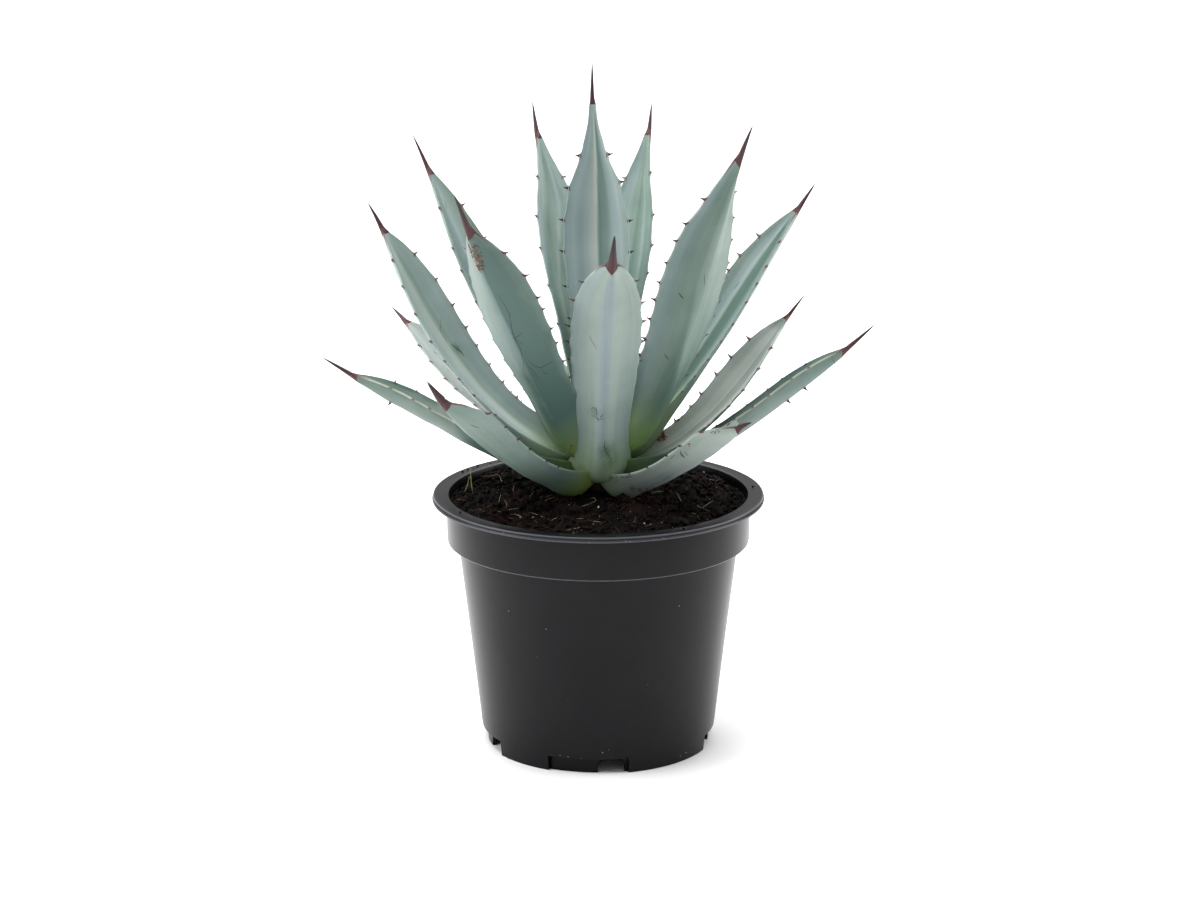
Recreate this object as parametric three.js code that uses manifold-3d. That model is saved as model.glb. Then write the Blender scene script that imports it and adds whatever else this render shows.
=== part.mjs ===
// A young agave in a round nursery pot: a rosette of thick channelled leaves with toothed
// margins and one dark spine at each tip, on a short stem in a mound of peat.
// Millimetres, +Z up. The origin is the middle of the pot's foot, on the surface it stands on.
// Azimuths are degrees from the front (-Y) towards the right (+X).
import * as THREE from 'three';
import { mergeVertices } from 'three/addons/utils/BufferGeometryUtils.js';
import Module from 'manifold-3d';

const wasm = await Module();
wasm.setup();

// Driving dimensions
const CLEARANCE = 0.3;

const POT_HEIGHT = 131;
const RIM_RADIUS = 85;
const LIP_RADIUS = 84.2;
const MOUTH_RADIUS = 76.4;
const LIP_DEPTH = 2.8;
const SKIRT_RADIUS = 77.4;
const SKIRT_BOTTOM = 106.6;
const BORE_RADIUS = 76.2;
const LEDGE_TOP = 107.8;
const SHOULDER_RADIUS = 71.8;
const FOOT_RADIUS = 59.5;
const WALL = 1.2;
const FLOOR_TOP = 10;
const FLOOR_THICKNESS = 1.6;
const FOOT_WALL = 3.6;
const POT_SIDES = 48;

const NOTCH_CENTRES = [-5, -76, 85, 149, 212];
const NOTCH_ARCH_SIDES = [1, 1, -1, 1, -1];
const NOTCH_ANGLE = 40;
const NOTCH_HEIGHT = 8;
const NOTCH_DEPTH = 2.1;
const ARCH_WIDTH = 15;
const ARCH_HEIGHT = 7;
const ARCH_SHIFT = 11.5;
const DRAIN_RADIUS = 5;
const DRAIN_CIRCLE = 45;

const SOIL_EDGE = 126.5;
const SOIL_CENTRE = 132.5;
const SOIL_RINGS = 6;
const SOIL_RELIEF = 1.4;

const STEM_BOTTOM = 104;
const STEM_TOP = 163;
const STEM_RADIUS = 10;
const STEM_TOP_RADIUS = 3.6;
const STEM_SIDES = 16;

const LEAF_THICKNESS = 10;
const MARGIN_THICKNESS = 1.3;
const TOOTH_BASE = 3.2;
const TOOTH_HEIGHT = 3.1;
const SPINE_NOTCH = 2.6;

// Outline of a leaf along its length, as shares of its length and of half its width: the
// second value is that of a young leaf with a drawn-out tip, the third that of an old blunt one.
const OUTLINE = [
  [0, 0.62, 0.62],
  [0.07, 0.84, 0.84],
  [0.25, 0.76, 0.74],
  [0.6, 1, 0.98],
  [0.76, 0.8, 0.97],
  [0.86, 0.43, 0.84],
  [0.94, 0.2, 0.52],
  [1, 0.1, 0.14],
];
// Thickness on the midline, as a share of LEAF_THICKNESS, and depth of the channel, as a
// share of half the width there.
const THICKNESS = [
  [0, 0.35],
  [0.08, 1],
  [0.25, 0.74],
  [0.6, 0.44],
  [0.88, 0.34],
  [1, 0.27],
];
const CHANNEL = [
  [0, 0.5],
  [0.1, 0.42],
  [0.3, 0.28],
  [0.6, 0.3],
  [0.85, 0.42],
  [1, 0.5],
];

// One leaf. root and tip are the ends of its blade as azimuth, reach from the axis and height.
// rise is the slope of the midline at its root and at its tip, hold the pull of the root slope,
// roll turns the blade about its midline at the root and at the tip, spine is the length of
// the spine, lift and yaw bend that away from the end of the blade, and collar widens the
// blade's last bit, where the spine stands. toothed is the share of the length that bears
// teeth, and pitch spreads them.
function describeLeaf(name, root, tip, rise, width, blunt, detail = {}) {
  const bend = { hold: 0.35, roll: [0, 0], spine: 17, lift: 6, yaw: 0 };
  const form = { thickness: LEAF_THICKNESS, collar: 1, toothed: 0.72, pitch: 1 };
  return { name, root, tip, rise, width, blunt, ...bend, ...form, ...detail };
}

// The leaves of the rosette, from the innermost to the outermost.
const LEAVES = [
  describeLeaf('heart', [0, 0, 158], [40, 3, 232], [88, 86], 20, 0, { thickness: 12, spine: 10 }),
  describeLeaf('01', [170, 5, 157], [187, 24, 326.5], [84, 84], 34, -0.1, { spine: 21, pitch: 1.5 }),
  describeLeaf('02', [-155, 6, 156], [-157, 80, 302], [74, 62], 38, 0.1, {
    roll: [-20, -20],
    spine: 20,
    pitch: 1.6,
  }),
  describeLeaf('03', [160, 6, 155], [159, 72, 304.5], [68, 68], 35, 0.1, {
    roll: [20, 20],
    pitch: 1.5,
  }),
  describeLeaf('04', [60, 8, 154], [52, 85, 309.5], [46, 68], 40, 0.2, {
    roll: [36, 10],
    lift: -5,
    spine: 19.5,
  }),
  describeLeaf('11', [-42, 7, 153], [-40, 94.3, 278], [44, 64], 41, 0.8, {
    roll: [-14, 0],
    lift: -5,
    spine: 22.5,
  }),
  describeLeaf('12', [-115, 7, 152], [-124.5, 105, 285], [44, 62], 31, 0.5, {
    roll: [2, 2],
    lift: -5,
    spine: 23.5,
    pitch: 1.5,
  }),
  describeLeaf('16', [135, 7, 151], [140, 80, 204], [34, 46], 31, 0.5, { spine: 13 }),
  describeLeaf('05', [102, 8, 150], [108, 105.7, 270], [40, 54], 34, 0.5, {
    roll: [-8, -8],
    lift: -2,
    spine: 18,
  }),
  describeLeaf('17', [-148, 8, 150], [-150, 83, 198], [32, 44], 30, 0.5, { spine: 13 }),
  describeLeaf('18', [182, 8, 149], [178, 72, 256], [48, 60], 34, 0.5, { spine: 15 }),
  describeLeaf('13', [-100, 8, 148], [-109, 115.6, 258], [18, 64], 34, 0.7, {
    roll: [12, 12],
    lift: -9,
    spine: 18.5,
    pitch: 1.15,
  }),
  describeLeaf('09', [5, 12, 142], [5, 75, 262], [34, 46], 36, 0.8, {
    hold: 0.13,
    lift: 22,
    yaw: 4,
    spine: 20,
    collar: 1.4,
    toothed: 0.5,
  }),
  describeLeaf('06', [100, 8, 146], [110, 102.5, 213.7], [4, 50], 25, 0.6, {
    roll: [-16, -16],
    lift: -4,
    spine: 16.5,
  }),
  describeLeaf('14', [-130, 8, 144], [-125, 123, 204], [12, 42], 33, 0.7, { lift: -12, spine: 13.5 }),
  describeLeaf('19', [152, 8, 143], [152, 84, 192], [18, 36], 31, 0.8, { spine: 13 }),
  describeLeaf('20', [-175, 8, 142], [-178, 72, 178], [20, 34], 32, 0.8, { spine: 13 }),
  describeLeaf('07', [82, 8, 142], [93, 124, 203.3], [10, 37], 34, 0.6, {
    roll: [8, 8],
    lift: 4,
    spine: 21.25,
  }),
  describeLeaf('15', [-85, 8, 141], [-93, 123, 190], [14, 28], 34, 0.6, {
    roll: [-6, -6],
    lift: 2,
    spine: 20.1,
  }),
  describeLeaf('10', [-45, 9, 140], [-52, 94, 191], [10, 46], 37, 1.2, { collar: 1.4 }),
  describeLeaf('08', [45, 9, 139], [57, 82, 176], [8, 42], 38, 1.2, { lift: -28, spine: 9 }),
];

const COLOURS = {
  pot: '#2c2c2e',
  soil: '#1c120f',
  stem: '#6f7a4a',
  leaf: '#7f9a92',
  spine: '#4a2e30',
};

// ---- solids and geometries ----

function toSolid(geometry) {
  const bare = geometry.index ? geometry.clone() : geometry;
  bare.deleteAttribute('normal');
  bare.deleteAttribute('uv');
  const merged = mergeVertices(bare, 1e-4);
  return new wasm.Manifold(
    new wasm.Mesh({
      numProp: 3,
      vertProperties: new Float32Array(merged.attributes.position.array),
      triVerts: new Uint32Array(merged.index.array),
    }),
  );
}

function toGeometry(solid) {
  const mesh = solid.getMesh();
  const geometry = new THREE.BufferGeometry();
  geometry.setAttribute('position', new THREE.BufferAttribute(mesh.vertProperties, 3));
  geometry.setIndex(new THREE.BufferAttribute(mesh.triVerts, 1));
  geometry.computeVertexNormals();
  return geometry;
}

function largestBody(solid) {
  const bodies = solid.decompose();
  return bodies.reduce((best, body) => (body.volume() > best.volume() ? body : best));
}

// A closed skin over rings of equal point count, each end closed by a fan.
function loft(rings) {
  const count = rings[0].length;
  const positions = rings.flat().flatMap((point) => point.toArray());
  const index = [];
  for (let i = 0; i + 1 < rings.length; i += 1) {
    for (let j = 0; j < count; j += 1) {
      const a = i * count + j;
      const b = i * count + ((j + 1) % count);
      index.push(a, b, b + count, a, b + count, a + count);
    }
  }
  return { positions, index, count };
}

// ---- small maths ----

function radians(degrees) {
  return THREE.MathUtils.degToRad(degrees);
}

function azimuthDirection(azimuth) {
  return new THREE.Vector3(Math.sin(radians(azimuth)), -Math.cos(radians(azimuth)), 0);
}

function slopeDirection(azimuth, rise) {
  const direction = azimuthDirection(azimuth).multiplyScalar(Math.cos(radians(rise)));
  direction.z = Math.sin(radians(rise));
  return direction;
}

function polarPoint([azimuth, reach, height]) {
  const point = azimuthDirection(azimuth).multiplyScalar(reach);
  point.z = height;
  return point;
}

function seeded(seed) {
  let state = seed;
  return () => {
    state = (state * 16807) % 2147483647;
    return state / 2147483647;
  };
}

// Smooth value at x through rows of [x, value...], reading the given column.
function through(rows, x, column = 1) {
  const last = rows.length - 1;
  let i = 0;
  while (i < last - 1 && x > rows[i + 1][0]) i += 1;
  const slope = (k) => {
    const a = rows[Math.max(k - 1, 0)];
    const b = rows[Math.min(k + 1, last)];
    return (b[column] - a[column]) / (b[0] - a[0]);
  };
  const span = rows[i + 1][0] - rows[i][0];
  const t = (x - rows[i][0]) / span;
  const h1 = t * t * (3 - 2 * t);
  const h2 = t * (1 - t) * (1 - t);
  const h3 = t * t * (t - 1);
  return (
    rows[i][column] * (1 - h1) +
    rows[i + 1][column] * h1 +
    span * (slope(i) * h2 + slope(i + 1) * h3)
  );
}

// ---- leaves ----

const UPPER_STATIONS = [-1, 0, 1];
const LOWER_STATIONS = [1, 0.4, 0, -0.4, -1];
// The two points of a section that lie on the midline, one above the other.
const KEEL_LINE = [1, 5];

function leafMidline(leaf) {
  const start = polarPoint(leaf.root);
  const end = polarPoint(leaf.tip);
  const chord = start.distanceTo(end);
  const startHandle = slopeDirection(leaf.root[0], leaf.rise[0]).multiplyScalar(chord * leaf.hold);
  const endHandle = slopeDirection(leaf.tip[0], leaf.rise[1]).multiplyScalar(-chord * 0.35);
  return new THREE.CubicBezierCurve3(
    start,
    start.clone().add(startHandle),
    end.clone().add(endHandle),
    end,
  );
}

// Middle, sideways and upward directions of the blade at share u of its length.
function leafFrame(leaf, u) {
  const middle = leaf.midline.getPointAt(u);
  const along = leaf.midline.getTangentAt(u);
  const azimuth = THREE.MathUtils.lerp(leaf.root[0], leaf.tip[0], u);
  const rise = THREE.MathUtils.radToDeg(Math.asin(along.z));
  const up = slopeDirection(azimuth, rise + 90);
  const side = new THREE.Vector3().crossVectors(along, up).normalize();
  up.crossVectors(side, along);
  const [rootRoll, tipRoll] = leaf.roll;
  const roll = radians(THREE.MathUtils.lerp(rootRoll, tipRoll, u));
  const turnedSide = side.clone().multiplyScalar(Math.cos(roll)).addScaledVector(up, Math.sin(roll));
  const turnedUp = up.multiplyScalar(Math.cos(roll)).addScaledVector(side, -Math.sin(roll));
  return { middle, along, side: turnedSide, up: turnedUp };
}

function halfWidth(leaf, u) {
  const young = through(OUTLINE, u, 1);
  const old = through(OUTLINE, u, 2);
  const collar = THREE.MathUtils.lerp(1, leaf.collar, THREE.MathUtils.smoothstep(u, 0.94, 1));
  return (leaf.width / 2) * THREE.MathUtils.lerp(young, old, leaf.blunt) * collar;
}

// A point of the blade's skin: station runs from -1 at one margin to 1 at the other.
function leafPoint(leaf, u, station, upper, grow) {
  const { middle, along, side, up } = leafFrame(leaf, u);
  const half = halfWidth(leaf, u);
  const channel = half * through(CHANNEL, u);
  const thickness = leaf.thickness * through(THICKNESS, u);
  const reach = Math.abs(station);
  const upperLevel = channel * reach ** 1.6 + grow;
  const keelRoundness = THREE.MathUtils.lerp(2.2, 1.35, THREE.MathUtils.smoothstep(u, 0, 0.35));
  const keel = (thickness + channel - MARGIN_THICKNESS) * reach ** keelRoundness;
  const lowerLevel = keel - thickness - grow;
  const point = middle.addScaledVector(side, station * (half + grow));
  point.addScaledVector(up, upper ? upperLevel : lowerLevel);
  const end = Math.max(0, (u - 0.97) / 0.03);
  if (!upper) point.addScaledVector(along, -SPINE_NOTCH * end * (1 - reach));
  if (u === 0) point.addScaledVector(along, -grow);
  return point;
}

// Places of the teeth, in shares of the length from the root, for both margins.
function toothRows(leaf) {
  const random = seeded(leaf.seed);
  const length = leaf.midline.getLength();
  const rows = [];
  let fromTip = 12 + 10 * (1 - leaf.blunt) + 3 * random();
  while (fromTip < length * leaf.toothed) {
    const shift = 3.2 * (random() - 0.5);
    const growth = 0.75 + 0.5 * random();
    const middle = 1 - fromTip / length;
    rows.unshift({
      left: middle + shift / length,
      right: middle - shift / length,
      height: TOOTH_HEIGHT * growth * THREE.MathUtils.lerp(0.55, 1, middle),
    });
    fromTip += THREE.MathUtils.lerp(8.5, 13, middle) * leaf.pitch * (0.8 + 0.4 * random());
  }
  return rows;
}

function leafSolid(leaf, grow = 0) {
  const length = leaf.midline.getLength();
  const halfTooth = (TOOTH_BASE / 2 + grow) / length;
  const teeth = toothRows(leaf);
  const rows = [0, 0.035, 0.08, 0.15].map((u) => ({ left: u, right: u }));
  const first = teeth[0].left;
  if (first > 0.27) rows.push({ left: 0.21, right: 0.21 });
  for (const tooth of teeth) {
    rows.push({ left: tooth.left - halfTooth, right: tooth.right - halfTooth, tooth });
    rows.push({ left: tooth.left + halfTooth, right: tooth.right + halfTooth });
  }
  const last = rows[rows.length - 1].left;
  if (last < 0.9) rows.push({ left: (last + 0.97) / 2, right: (last + 0.97) / 2 });
  rows.push({ left: 0.97, right: 0.97 }, { left: 1, right: 1 });

  const rings = rows.map((row) => {
    const at = (station) => THREE.MathUtils.lerp(row.left, row.right, (station + 1) / 2);
    const top = UPPER_STATIONS.map((s) => leafPoint(leaf, at(s), s, true, grow));
    const bottom = LOWER_STATIONS.map((s) => leafPoint(leaf, at(s), s, false, grow));
    return [...top, ...bottom];
  });
  const { positions, index, count } = loft(rings);

  const right = UPPER_STATIONS.length - 1;
  const left = count - 1;
  rows.forEach((row, i) => {
    if (!row.tooth) return;
    for (const column of [right, left]) {
      raiseTooth(leaf, rings, positions, index, i, column, row.tooth.height + grow);
    }
  });
  closeEnd(positions, index, rings[0], 0, true, KEEL_LINE);
  const lastStart = (rings.length - 1) * count;
  closeEnd(positions, index, rings[rings.length - 1], lastStart, false, KEEL_LINE);
  return toSolid(faces(positions, index));
}

// Swaps the two triangles of one margin face for the four sides of a tooth.
function raiseTooth(leaf, rings, positions, index, row, column, height) {
  const count = rings[0].length;
  const next = (column + 1) % count;
  const corners = [rings[row][column], rings[row][next], rings[row + 1][next], rings[row + 1][column]];
  const apex = new THREE.Vector3();
  corners.forEach((corner) => apex.addScaledVector(corner, 0.25));
  const inward = rings[row][UPPER_STATIONS.length >> 1];
  const along = new THREE.Vector3().subVectors(corners[3], corners[0]).normalize();
  const outward = new THREE.Vector3().subVectors(corners[0], inward);
  outward.addScaledVector(along, -outward.dot(along)).normalize();
  apex.addScaledVector(outward, height).addScaledVector(along, height * 0.35);
  const apexIndex = positions.length / 3;
  positions.push(...apex.toArray());
  const a = row * count + column;
  const b = row * count + next;
  const c = b + count;
  const d = a + count;
  const face = index.findIndex((v, i) => i % 3 === 0 && v === a && index[i + 1] === b && index[i + 2] === c);
  index.splice(face, 6, a, b, apexIndex, b, c, apexIndex, c, d, apexIndex, d, a, apexIndex);
}

// A fan over one end ring, from the middle of two opposite points of the ring.
function closeEnd(positions, index, ring, offset, first, opposite) {
  const centre = ring[opposite[0]].clone().lerp(ring[opposite[1]], 0.5);
  const centreIndex = positions.length / 3;
  positions.push(...centre.toArray());
  for (let j = 0; j < ring.length; j += 1) {
    const a = offset + j;
    const b = offset + ((j + 1) % ring.length);
    if (first) index.push(b, a, centreIndex);
    else index.push(a, b, centreIndex);
  }
}

function faces(positions, index) {
  const geometry = new THREE.BufferGeometry();
  geometry.setAttribute('position', new THREE.Float32BufferAttribute(positions, 3));
  geometry.setIndex(index);
  return geometry;
}

function spineSolid(leaf, grow = 0) {
  const tip = leafFrame(leaf, 1);
  const length = leaf.spine;
  const endRise = leaf.rise[1] + leaf.lift;
  const endAzimuth = leaf.tip[0] + leaf.yaw;
  const start = tip.middle.clone().addScaledVector(tip.along, CLEARANCE - grow);
  const elbow = start.clone().addScaledVector(tip.along, length * 0.4);
  const end = elbow.clone().addScaledVector(slopeDirection(endAzimuth, endRise), length * 0.6);
  const path = new THREE.QuadraticBezierCurve3(start, elbow, end);
  const base = [
    ...UPPER_STATIONS.map((s) => leafPoint(leaf, 1, s, true, grow)),
    ...LOWER_STATIONS.map((s) => leafPoint(leaf, 1, s, false, grow)),
  ];
  const centre = new THREE.Vector3();
  base.forEach((point) => centre.addScaledVector(point, 1 / base.length));
  const rings = [[0, 1], [0.3, 0.7], [0.68, 0.37], [1, 0.06]].map(([t, size]) => {
    const middle = path.getPoint(t);
    const shift = new THREE.Vector3().subVectors(middle, tip.middle);
    return base.map((point) => {
      const notch = new THREE.Vector3().subVectors(point, centre);
      const along = notch.dot(tip.along);
      notch.addScaledVector(tip.along, -along * Math.min(1, t * 3));
      return centre.clone().addScaledVector(notch, size).add(shift);
    });
  });
  const { positions, index, count } = loft(rings);
  closeEnd(positions, index, rings[0], 0, true, KEEL_LINE);
  const lastStart = (rings.length - 1) * count;
  closeEnd(positions, index, rings[rings.length - 1], lastStart, false, KEEL_LINE);
  return toSolid(faces(positions, index));
}

LEAVES.forEach((item, i) => {
  item.seed = 7919 + 104729 * i;
  item.midline = leafMidline(item);
});

// ---- pot ----

function potBody() {
  const floorBottom = FLOOR_TOP - FLOOR_THICKNESS;
  const slope = (SHOULDER_RADIUS - FOOT_RADIUS) / SKIRT_BOTTOM;
  const profile = [
    [0, floorBottom],
    [FOOT_RADIUS - FOOT_WALL, floorBottom],
    [FOOT_RADIUS - FOOT_WALL, 0],
    [FOOT_RADIUS, 0],
    [SHOULDER_RADIUS, SKIRT_BOTTOM - 0.6],
    [SKIRT_RADIUS - 0.5, SKIRT_BOTTOM],
    [SKIRT_RADIUS, SKIRT_BOTTOM + 0.8],
    [SKIRT_RADIUS + 0.3, POT_HEIGHT - LIP_DEPTH - 0.4],
    [RIM_RADIUS - 0.4, POT_HEIGHT - LIP_DEPTH],
    [RIM_RADIUS, POT_HEIGHT - LIP_DEPTH + 0.8],
    [LIP_RADIUS, POT_HEIGHT - 1.1],
    [LIP_RADIUS, POT_HEIGHT - 0.4],
    [MOUTH_RADIUS, POT_HEIGHT],
    [BORE_RADIUS, LEDGE_TOP],
    [SHOULDER_RADIUS - WALL, LEDGE_TOP - 0.6],
    [FOOT_RADIUS + slope * FLOOR_TOP - WALL, FLOOR_TOP],
    [0, FLOOR_TOP],
  ];
  const points = profile.map(([r, z]) => new THREE.Vector2(r, z));
  const geometry = new THREE.LatheGeometry(points, POT_SIDES);
  geometry.rotateX(Math.PI / 2);
  return toSolid(geometry);
}

function notchCutter(centre) {
  const half = radians(NOTCH_ANGLE / 2);
  const middle = radians(centre - 90);
  const shape = new THREE.Shape();
  shape.absarc(0, 0, FOOT_RADIUS - NOTCH_DEPTH, middle - half, middle + half, false);
  shape.absarc(0, 0, FOOT_RADIUS + 5, middle + half, middle - half, true);
  const geometry = new THREE.ExtrudeGeometry(shape, {
    depth: NOTCH_HEIGHT + 1,
    curveSegments: 6,
    bevelEnabled: false,
  });
  geometry.translate(0, 0, -1);
  return toSolid(geometry);
}

function archCutter(centre, side) {
  const half = ARCH_WIDTH / 2;
  const shape = new THREE.Shape();
  shape.moveTo(-half, -1);
  shape.lineTo(half, -1);
  shape.lineTo(half, ARCH_HEIGHT - 4);
  shape.absarc(half - 4, ARCH_HEIGHT - 4, 4, 0, Math.PI / 2, false);
  shape.absarc(4 - half, ARCH_HEIGHT - 4, 4, Math.PI / 2, Math.PI, false);
  shape.closePath();
  const geometry = new THREE.ExtrudeGeometry(shape, {
    depth: 12,
    curveSegments: 4,
    bevelEnabled: false,
  });
  geometry.rotateX(Math.PI / 2);
  geometry.translate(0, -FOOT_RADIUS + 6, 0);
  geometry.rotateZ(radians(centre + side * ARCH_SHIFT));
  return toSolid(geometry);
}

function drainCutter(azimuth, distance) {
  const geometry = new THREE.CylinderGeometry(DRAIN_RADIUS, DRAIN_RADIUS, 6, 12);
  geometry.rotateX(Math.PI / 2);
  const place = azimuthDirection(azimuth).multiplyScalar(distance);
  geometry.translate(place.x, place.y, FLOOR_TOP);
  return toSolid(geometry);
}

function potSolid() {
  let solid = potBody();
  NOTCH_CENTRES.forEach((centre, i) => {
    solid = solid.subtract(notchCutter(centre));
    solid = solid.subtract(archCutter(centre, NOTCH_ARCH_SIDES[i]));
    solid = solid.subtract(drainCutter(centre, DRAIN_CIRCLE));
  });
  return solid.subtract(drainCutter(0, 0));
}

// ---- stem and soil ----

function stemSolid(grow = 0) {
  const points = [
    new THREE.Vector2(0, STEM_BOTTOM - grow),
    new THREE.Vector2(STEM_RADIUS * 0.8 + grow, STEM_BOTTOM - grow),
    new THREE.Vector2(STEM_RADIUS + grow, 133),
    new THREE.Vector2(STEM_RADIUS * 0.85 + grow, 146),
    new THREE.Vector2(STEM_TOP_RADIUS + grow, STEM_TOP + grow),
    new THREE.Vector2(0, STEM_TOP + grow),
  ];
  const geometry = new THREE.LatheGeometry(points, STEM_SIDES);
  geometry.rotateX(Math.PI / 2);
  return toSolid(geometry);
}

// Peat that fills the pot: level rings up its wall, then a low mound of crumbs.
function soilSolid() {
  const random = seeded(4421);
  const ring = (radius, height, relief = 0) =>
    Array.from({ length: POT_SIDES }, (_, k) => {
      const bump = relief * (2 * random() - 1);
      return polarPoint([(360 * k) / POT_SIDES, radius, height + bump]);
    });
  const slope = (SHOULDER_RADIUS - FOOT_RADIUS) / SKIRT_BOTTOM;
  const edge = BORE_RADIUS - CLEARANCE;
  const rings = [
    ring(FOOT_RADIUS + slope * FLOOR_TOP - WALL - CLEARANCE, FLOOR_TOP + CLEARANCE),
    ring(SHOULDER_RADIUS - WALL - CLEARANCE, LEDGE_TOP - 0.6 + CLEARANCE),
    ring(edge, LEDGE_TOP + CLEARANCE),
    ring(edge, SOIL_EDGE),
  ];
  for (let i = 1; i <= SOIL_RINGS; i += 1) {
    const share = 1 - i / (SOIL_RINGS + 0.6);
    const height = THREE.MathUtils.lerp(SOIL_CENTRE, SOIL_EDGE, share * share);
    rings.push(ring(edge * share, height, SOIL_RELIEF));
  }
  const { positions, index, count } = loft(rings);
  const across = [0, POT_SIDES / 2];
  closeEnd(positions, index, rings[0], 0, true, across);
  closeEnd(positions, index, rings[rings.length - 1], (rings.length - 1) * count, false, across);
  return toSolid(faces(positions, index));
}

// ---- the assembly, from the middle outwards ----

const model = new THREE.Group();

function addPiece(name, solid, kind, roughness) {
  const material = new THREE.MeshStandardMaterial({
    color: COLOURS[kind],
    roughness,
    metalness: 0,
  });
  const mesh = new THREE.Mesh(toGeometry(solid), material);
  mesh.name = name;
  model.add(mesh);
}

addPiece('pot', potSolid(), 'pot', 0.5);
addPiece('stem', stemSolid(), 'stem', 0.7);

const placed = [stemSolid(CLEARANCE)];
for (const item of LEAVES) {
  let blade = leafSolid(item);
  for (const inner of placed) blade = blade.subtract(inner);
  addPiece(`leaf_${item.name}`, largestBody(blade), 'leaf', 0.6);
  addPiece(`spine_${item.name}`, spineSolid(item), 'spine', 0.45);
  placed.push(leafSolid(item, CLEARANCE));
}

let soil = soilSolid();
for (const piece of placed) soil = soil.subtract(piece);
addPiece('soil', largestBody(soil), 'soil', 0.95);

export default model;
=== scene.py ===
# A young agave in a charcoal nursery pot, dressed around its solids: pot, peat, stem, leaves
# with their marginal teeth, and spines. Metres, the same frame as the solids.
import math
import random

import bpy
import numpy as np
from mathutils import Matrix, Vector, noise


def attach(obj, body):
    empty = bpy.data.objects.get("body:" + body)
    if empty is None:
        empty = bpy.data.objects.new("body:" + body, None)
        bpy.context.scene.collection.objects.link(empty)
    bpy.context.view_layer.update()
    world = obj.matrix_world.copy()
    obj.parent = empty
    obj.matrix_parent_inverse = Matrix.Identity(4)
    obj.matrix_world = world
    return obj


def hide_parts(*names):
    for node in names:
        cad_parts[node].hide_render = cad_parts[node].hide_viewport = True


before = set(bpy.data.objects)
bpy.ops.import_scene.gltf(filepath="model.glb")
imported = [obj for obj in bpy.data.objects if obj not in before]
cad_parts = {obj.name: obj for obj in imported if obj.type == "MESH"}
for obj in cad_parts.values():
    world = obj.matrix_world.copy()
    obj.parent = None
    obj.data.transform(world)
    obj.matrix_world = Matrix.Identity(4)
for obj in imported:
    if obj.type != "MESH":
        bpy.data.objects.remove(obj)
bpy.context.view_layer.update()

MM = 0.001

# ------------------------------------------------------------------------------ nursery pot
# One injection moulding in charcoal polypropylene: a thin tapered wall, a straight skirt
# under a flat rim flange with a turned lip, and a foot that is notched for drainage.
# Radius and height of each edge of the wall, from the middle drain hole round the outside
# and back.
POT_WALL = [
    (5.0, 8.4), (55.9, 8.4), (55.9, 0.0), (56.2, 0.0), (59.3, 0.0), (59.55, 0.3),
    (60.66, 10.0), (65.6, 53.0), (71.8, 105.7), (72.2, 106.1), (76.7, 106.6), (77.3, 107.1),
    (77.5, 108.0), (77.7, 127.2), (78.2, 127.9), (83.9, 128.0), (84.8, 128.3), (85.0, 128.9),
    (84.7, 129.5),
    (84.1, 129.7), (84.1, 130.0), (84.5, 130.3), (84.3, 130.8), (83.7, 130.95),
    (77.4, 131.0), (76.6, 130.8), (76.3, 130.2), (76.2, 107.9), (70.7, 107.2),
    (60.8, 10.6), (60.2, 10.0), (5.0, 10.0),
]
POT_SIDES = 192
FOOT_RADIUS = 59.5
NOTCH_CENTRES = (-5, -76, 85, 149, 212)
NOTCH_ARCH_SIDES = (1, 1, -1, 1, -1)
NOTCH_ANGLE = 40
NOTCH_HEIGHT = 8.0
NOTCH_DEPTH = 2.1
NOTCH_STEPS = 24
ARCH_WIDTH = 15.0
ARCH_HEIGHT = 7.0
ARCH_DEPTH = 12.0
ARCH_ROUNDING = 4.0
ARCH_SHIFT = 11.5
DRAIN_RADIUS = 5.0
DRAIN_CIRCLE = 45.0
DRAIN_SIDES = 32


def polar(azimuth, reach, height):
    """A point in millimetres, its azimuth in degrees from the front towards the right."""
    a = math.radians(azimuth)
    return Vector((math.sin(a) * reach, -math.cos(a) * reach, height))


def start(name):
    """Names the primitive that was just added, the only thing selected."""
    piece = bpy.context.object
    piece.name = name
    piece.data.name = name
    return piece


def settle(piece):
    """Brings the piece's place into its mesh."""
    if bpy.context.mode != "OBJECT":
        bpy.ops.object.mode_set(mode="OBJECT")
    bpy.ops.object.select_all(action="DESELECT")
    piece.select_set(True)
    bpy.context.view_layer.objects.active = piece
    bpy.ops.object.transform_apply(location=True, rotation=True, scale=True)


def face_outwards():
    """Turns all faces of the piece in edit mode outwards."""
    bpy.ops.mesh.select_all(action="SELECT")
    bpy.ops.mesh.normals_make_consistent(inside=False)


def draw_out(rings):
    """Extrudes the selected ring of points through rings of radius and height."""
    radius, height = rings[0]
    for next_radius, next_height in rings[1:]:
        step = (next_height - height) * MM
        bpy.ops.mesh.extrude_region_move(TRANSFORM_OT_translate={"value": (0, 0, step)})
        ratio = next_radius / radius
        bpy.ops.transform.resize(
            value=(ratio, ratio, 1), center_override=(0, 0, next_height * MM)
        )
        radius, height = next_radius, next_height


def cut(piece, cutter):
    """Takes the cutter's shape out of the piece, and the cutter out of the scene."""
    bpy.ops.object.select_all(action="DESELECT")
    piece.select_set(True)
    bpy.context.view_layer.objects.active = piece
    tool = piece.modifiers.new("cut", "BOOLEAN")
    tool.operation = "DIFFERENCE"
    tool.solver = "EXACT"
    tool.object = cutter
    bpy.ops.object.modifier_apply(modifier=tool.name)
    bpy.data.objects.remove(cutter)


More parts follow.
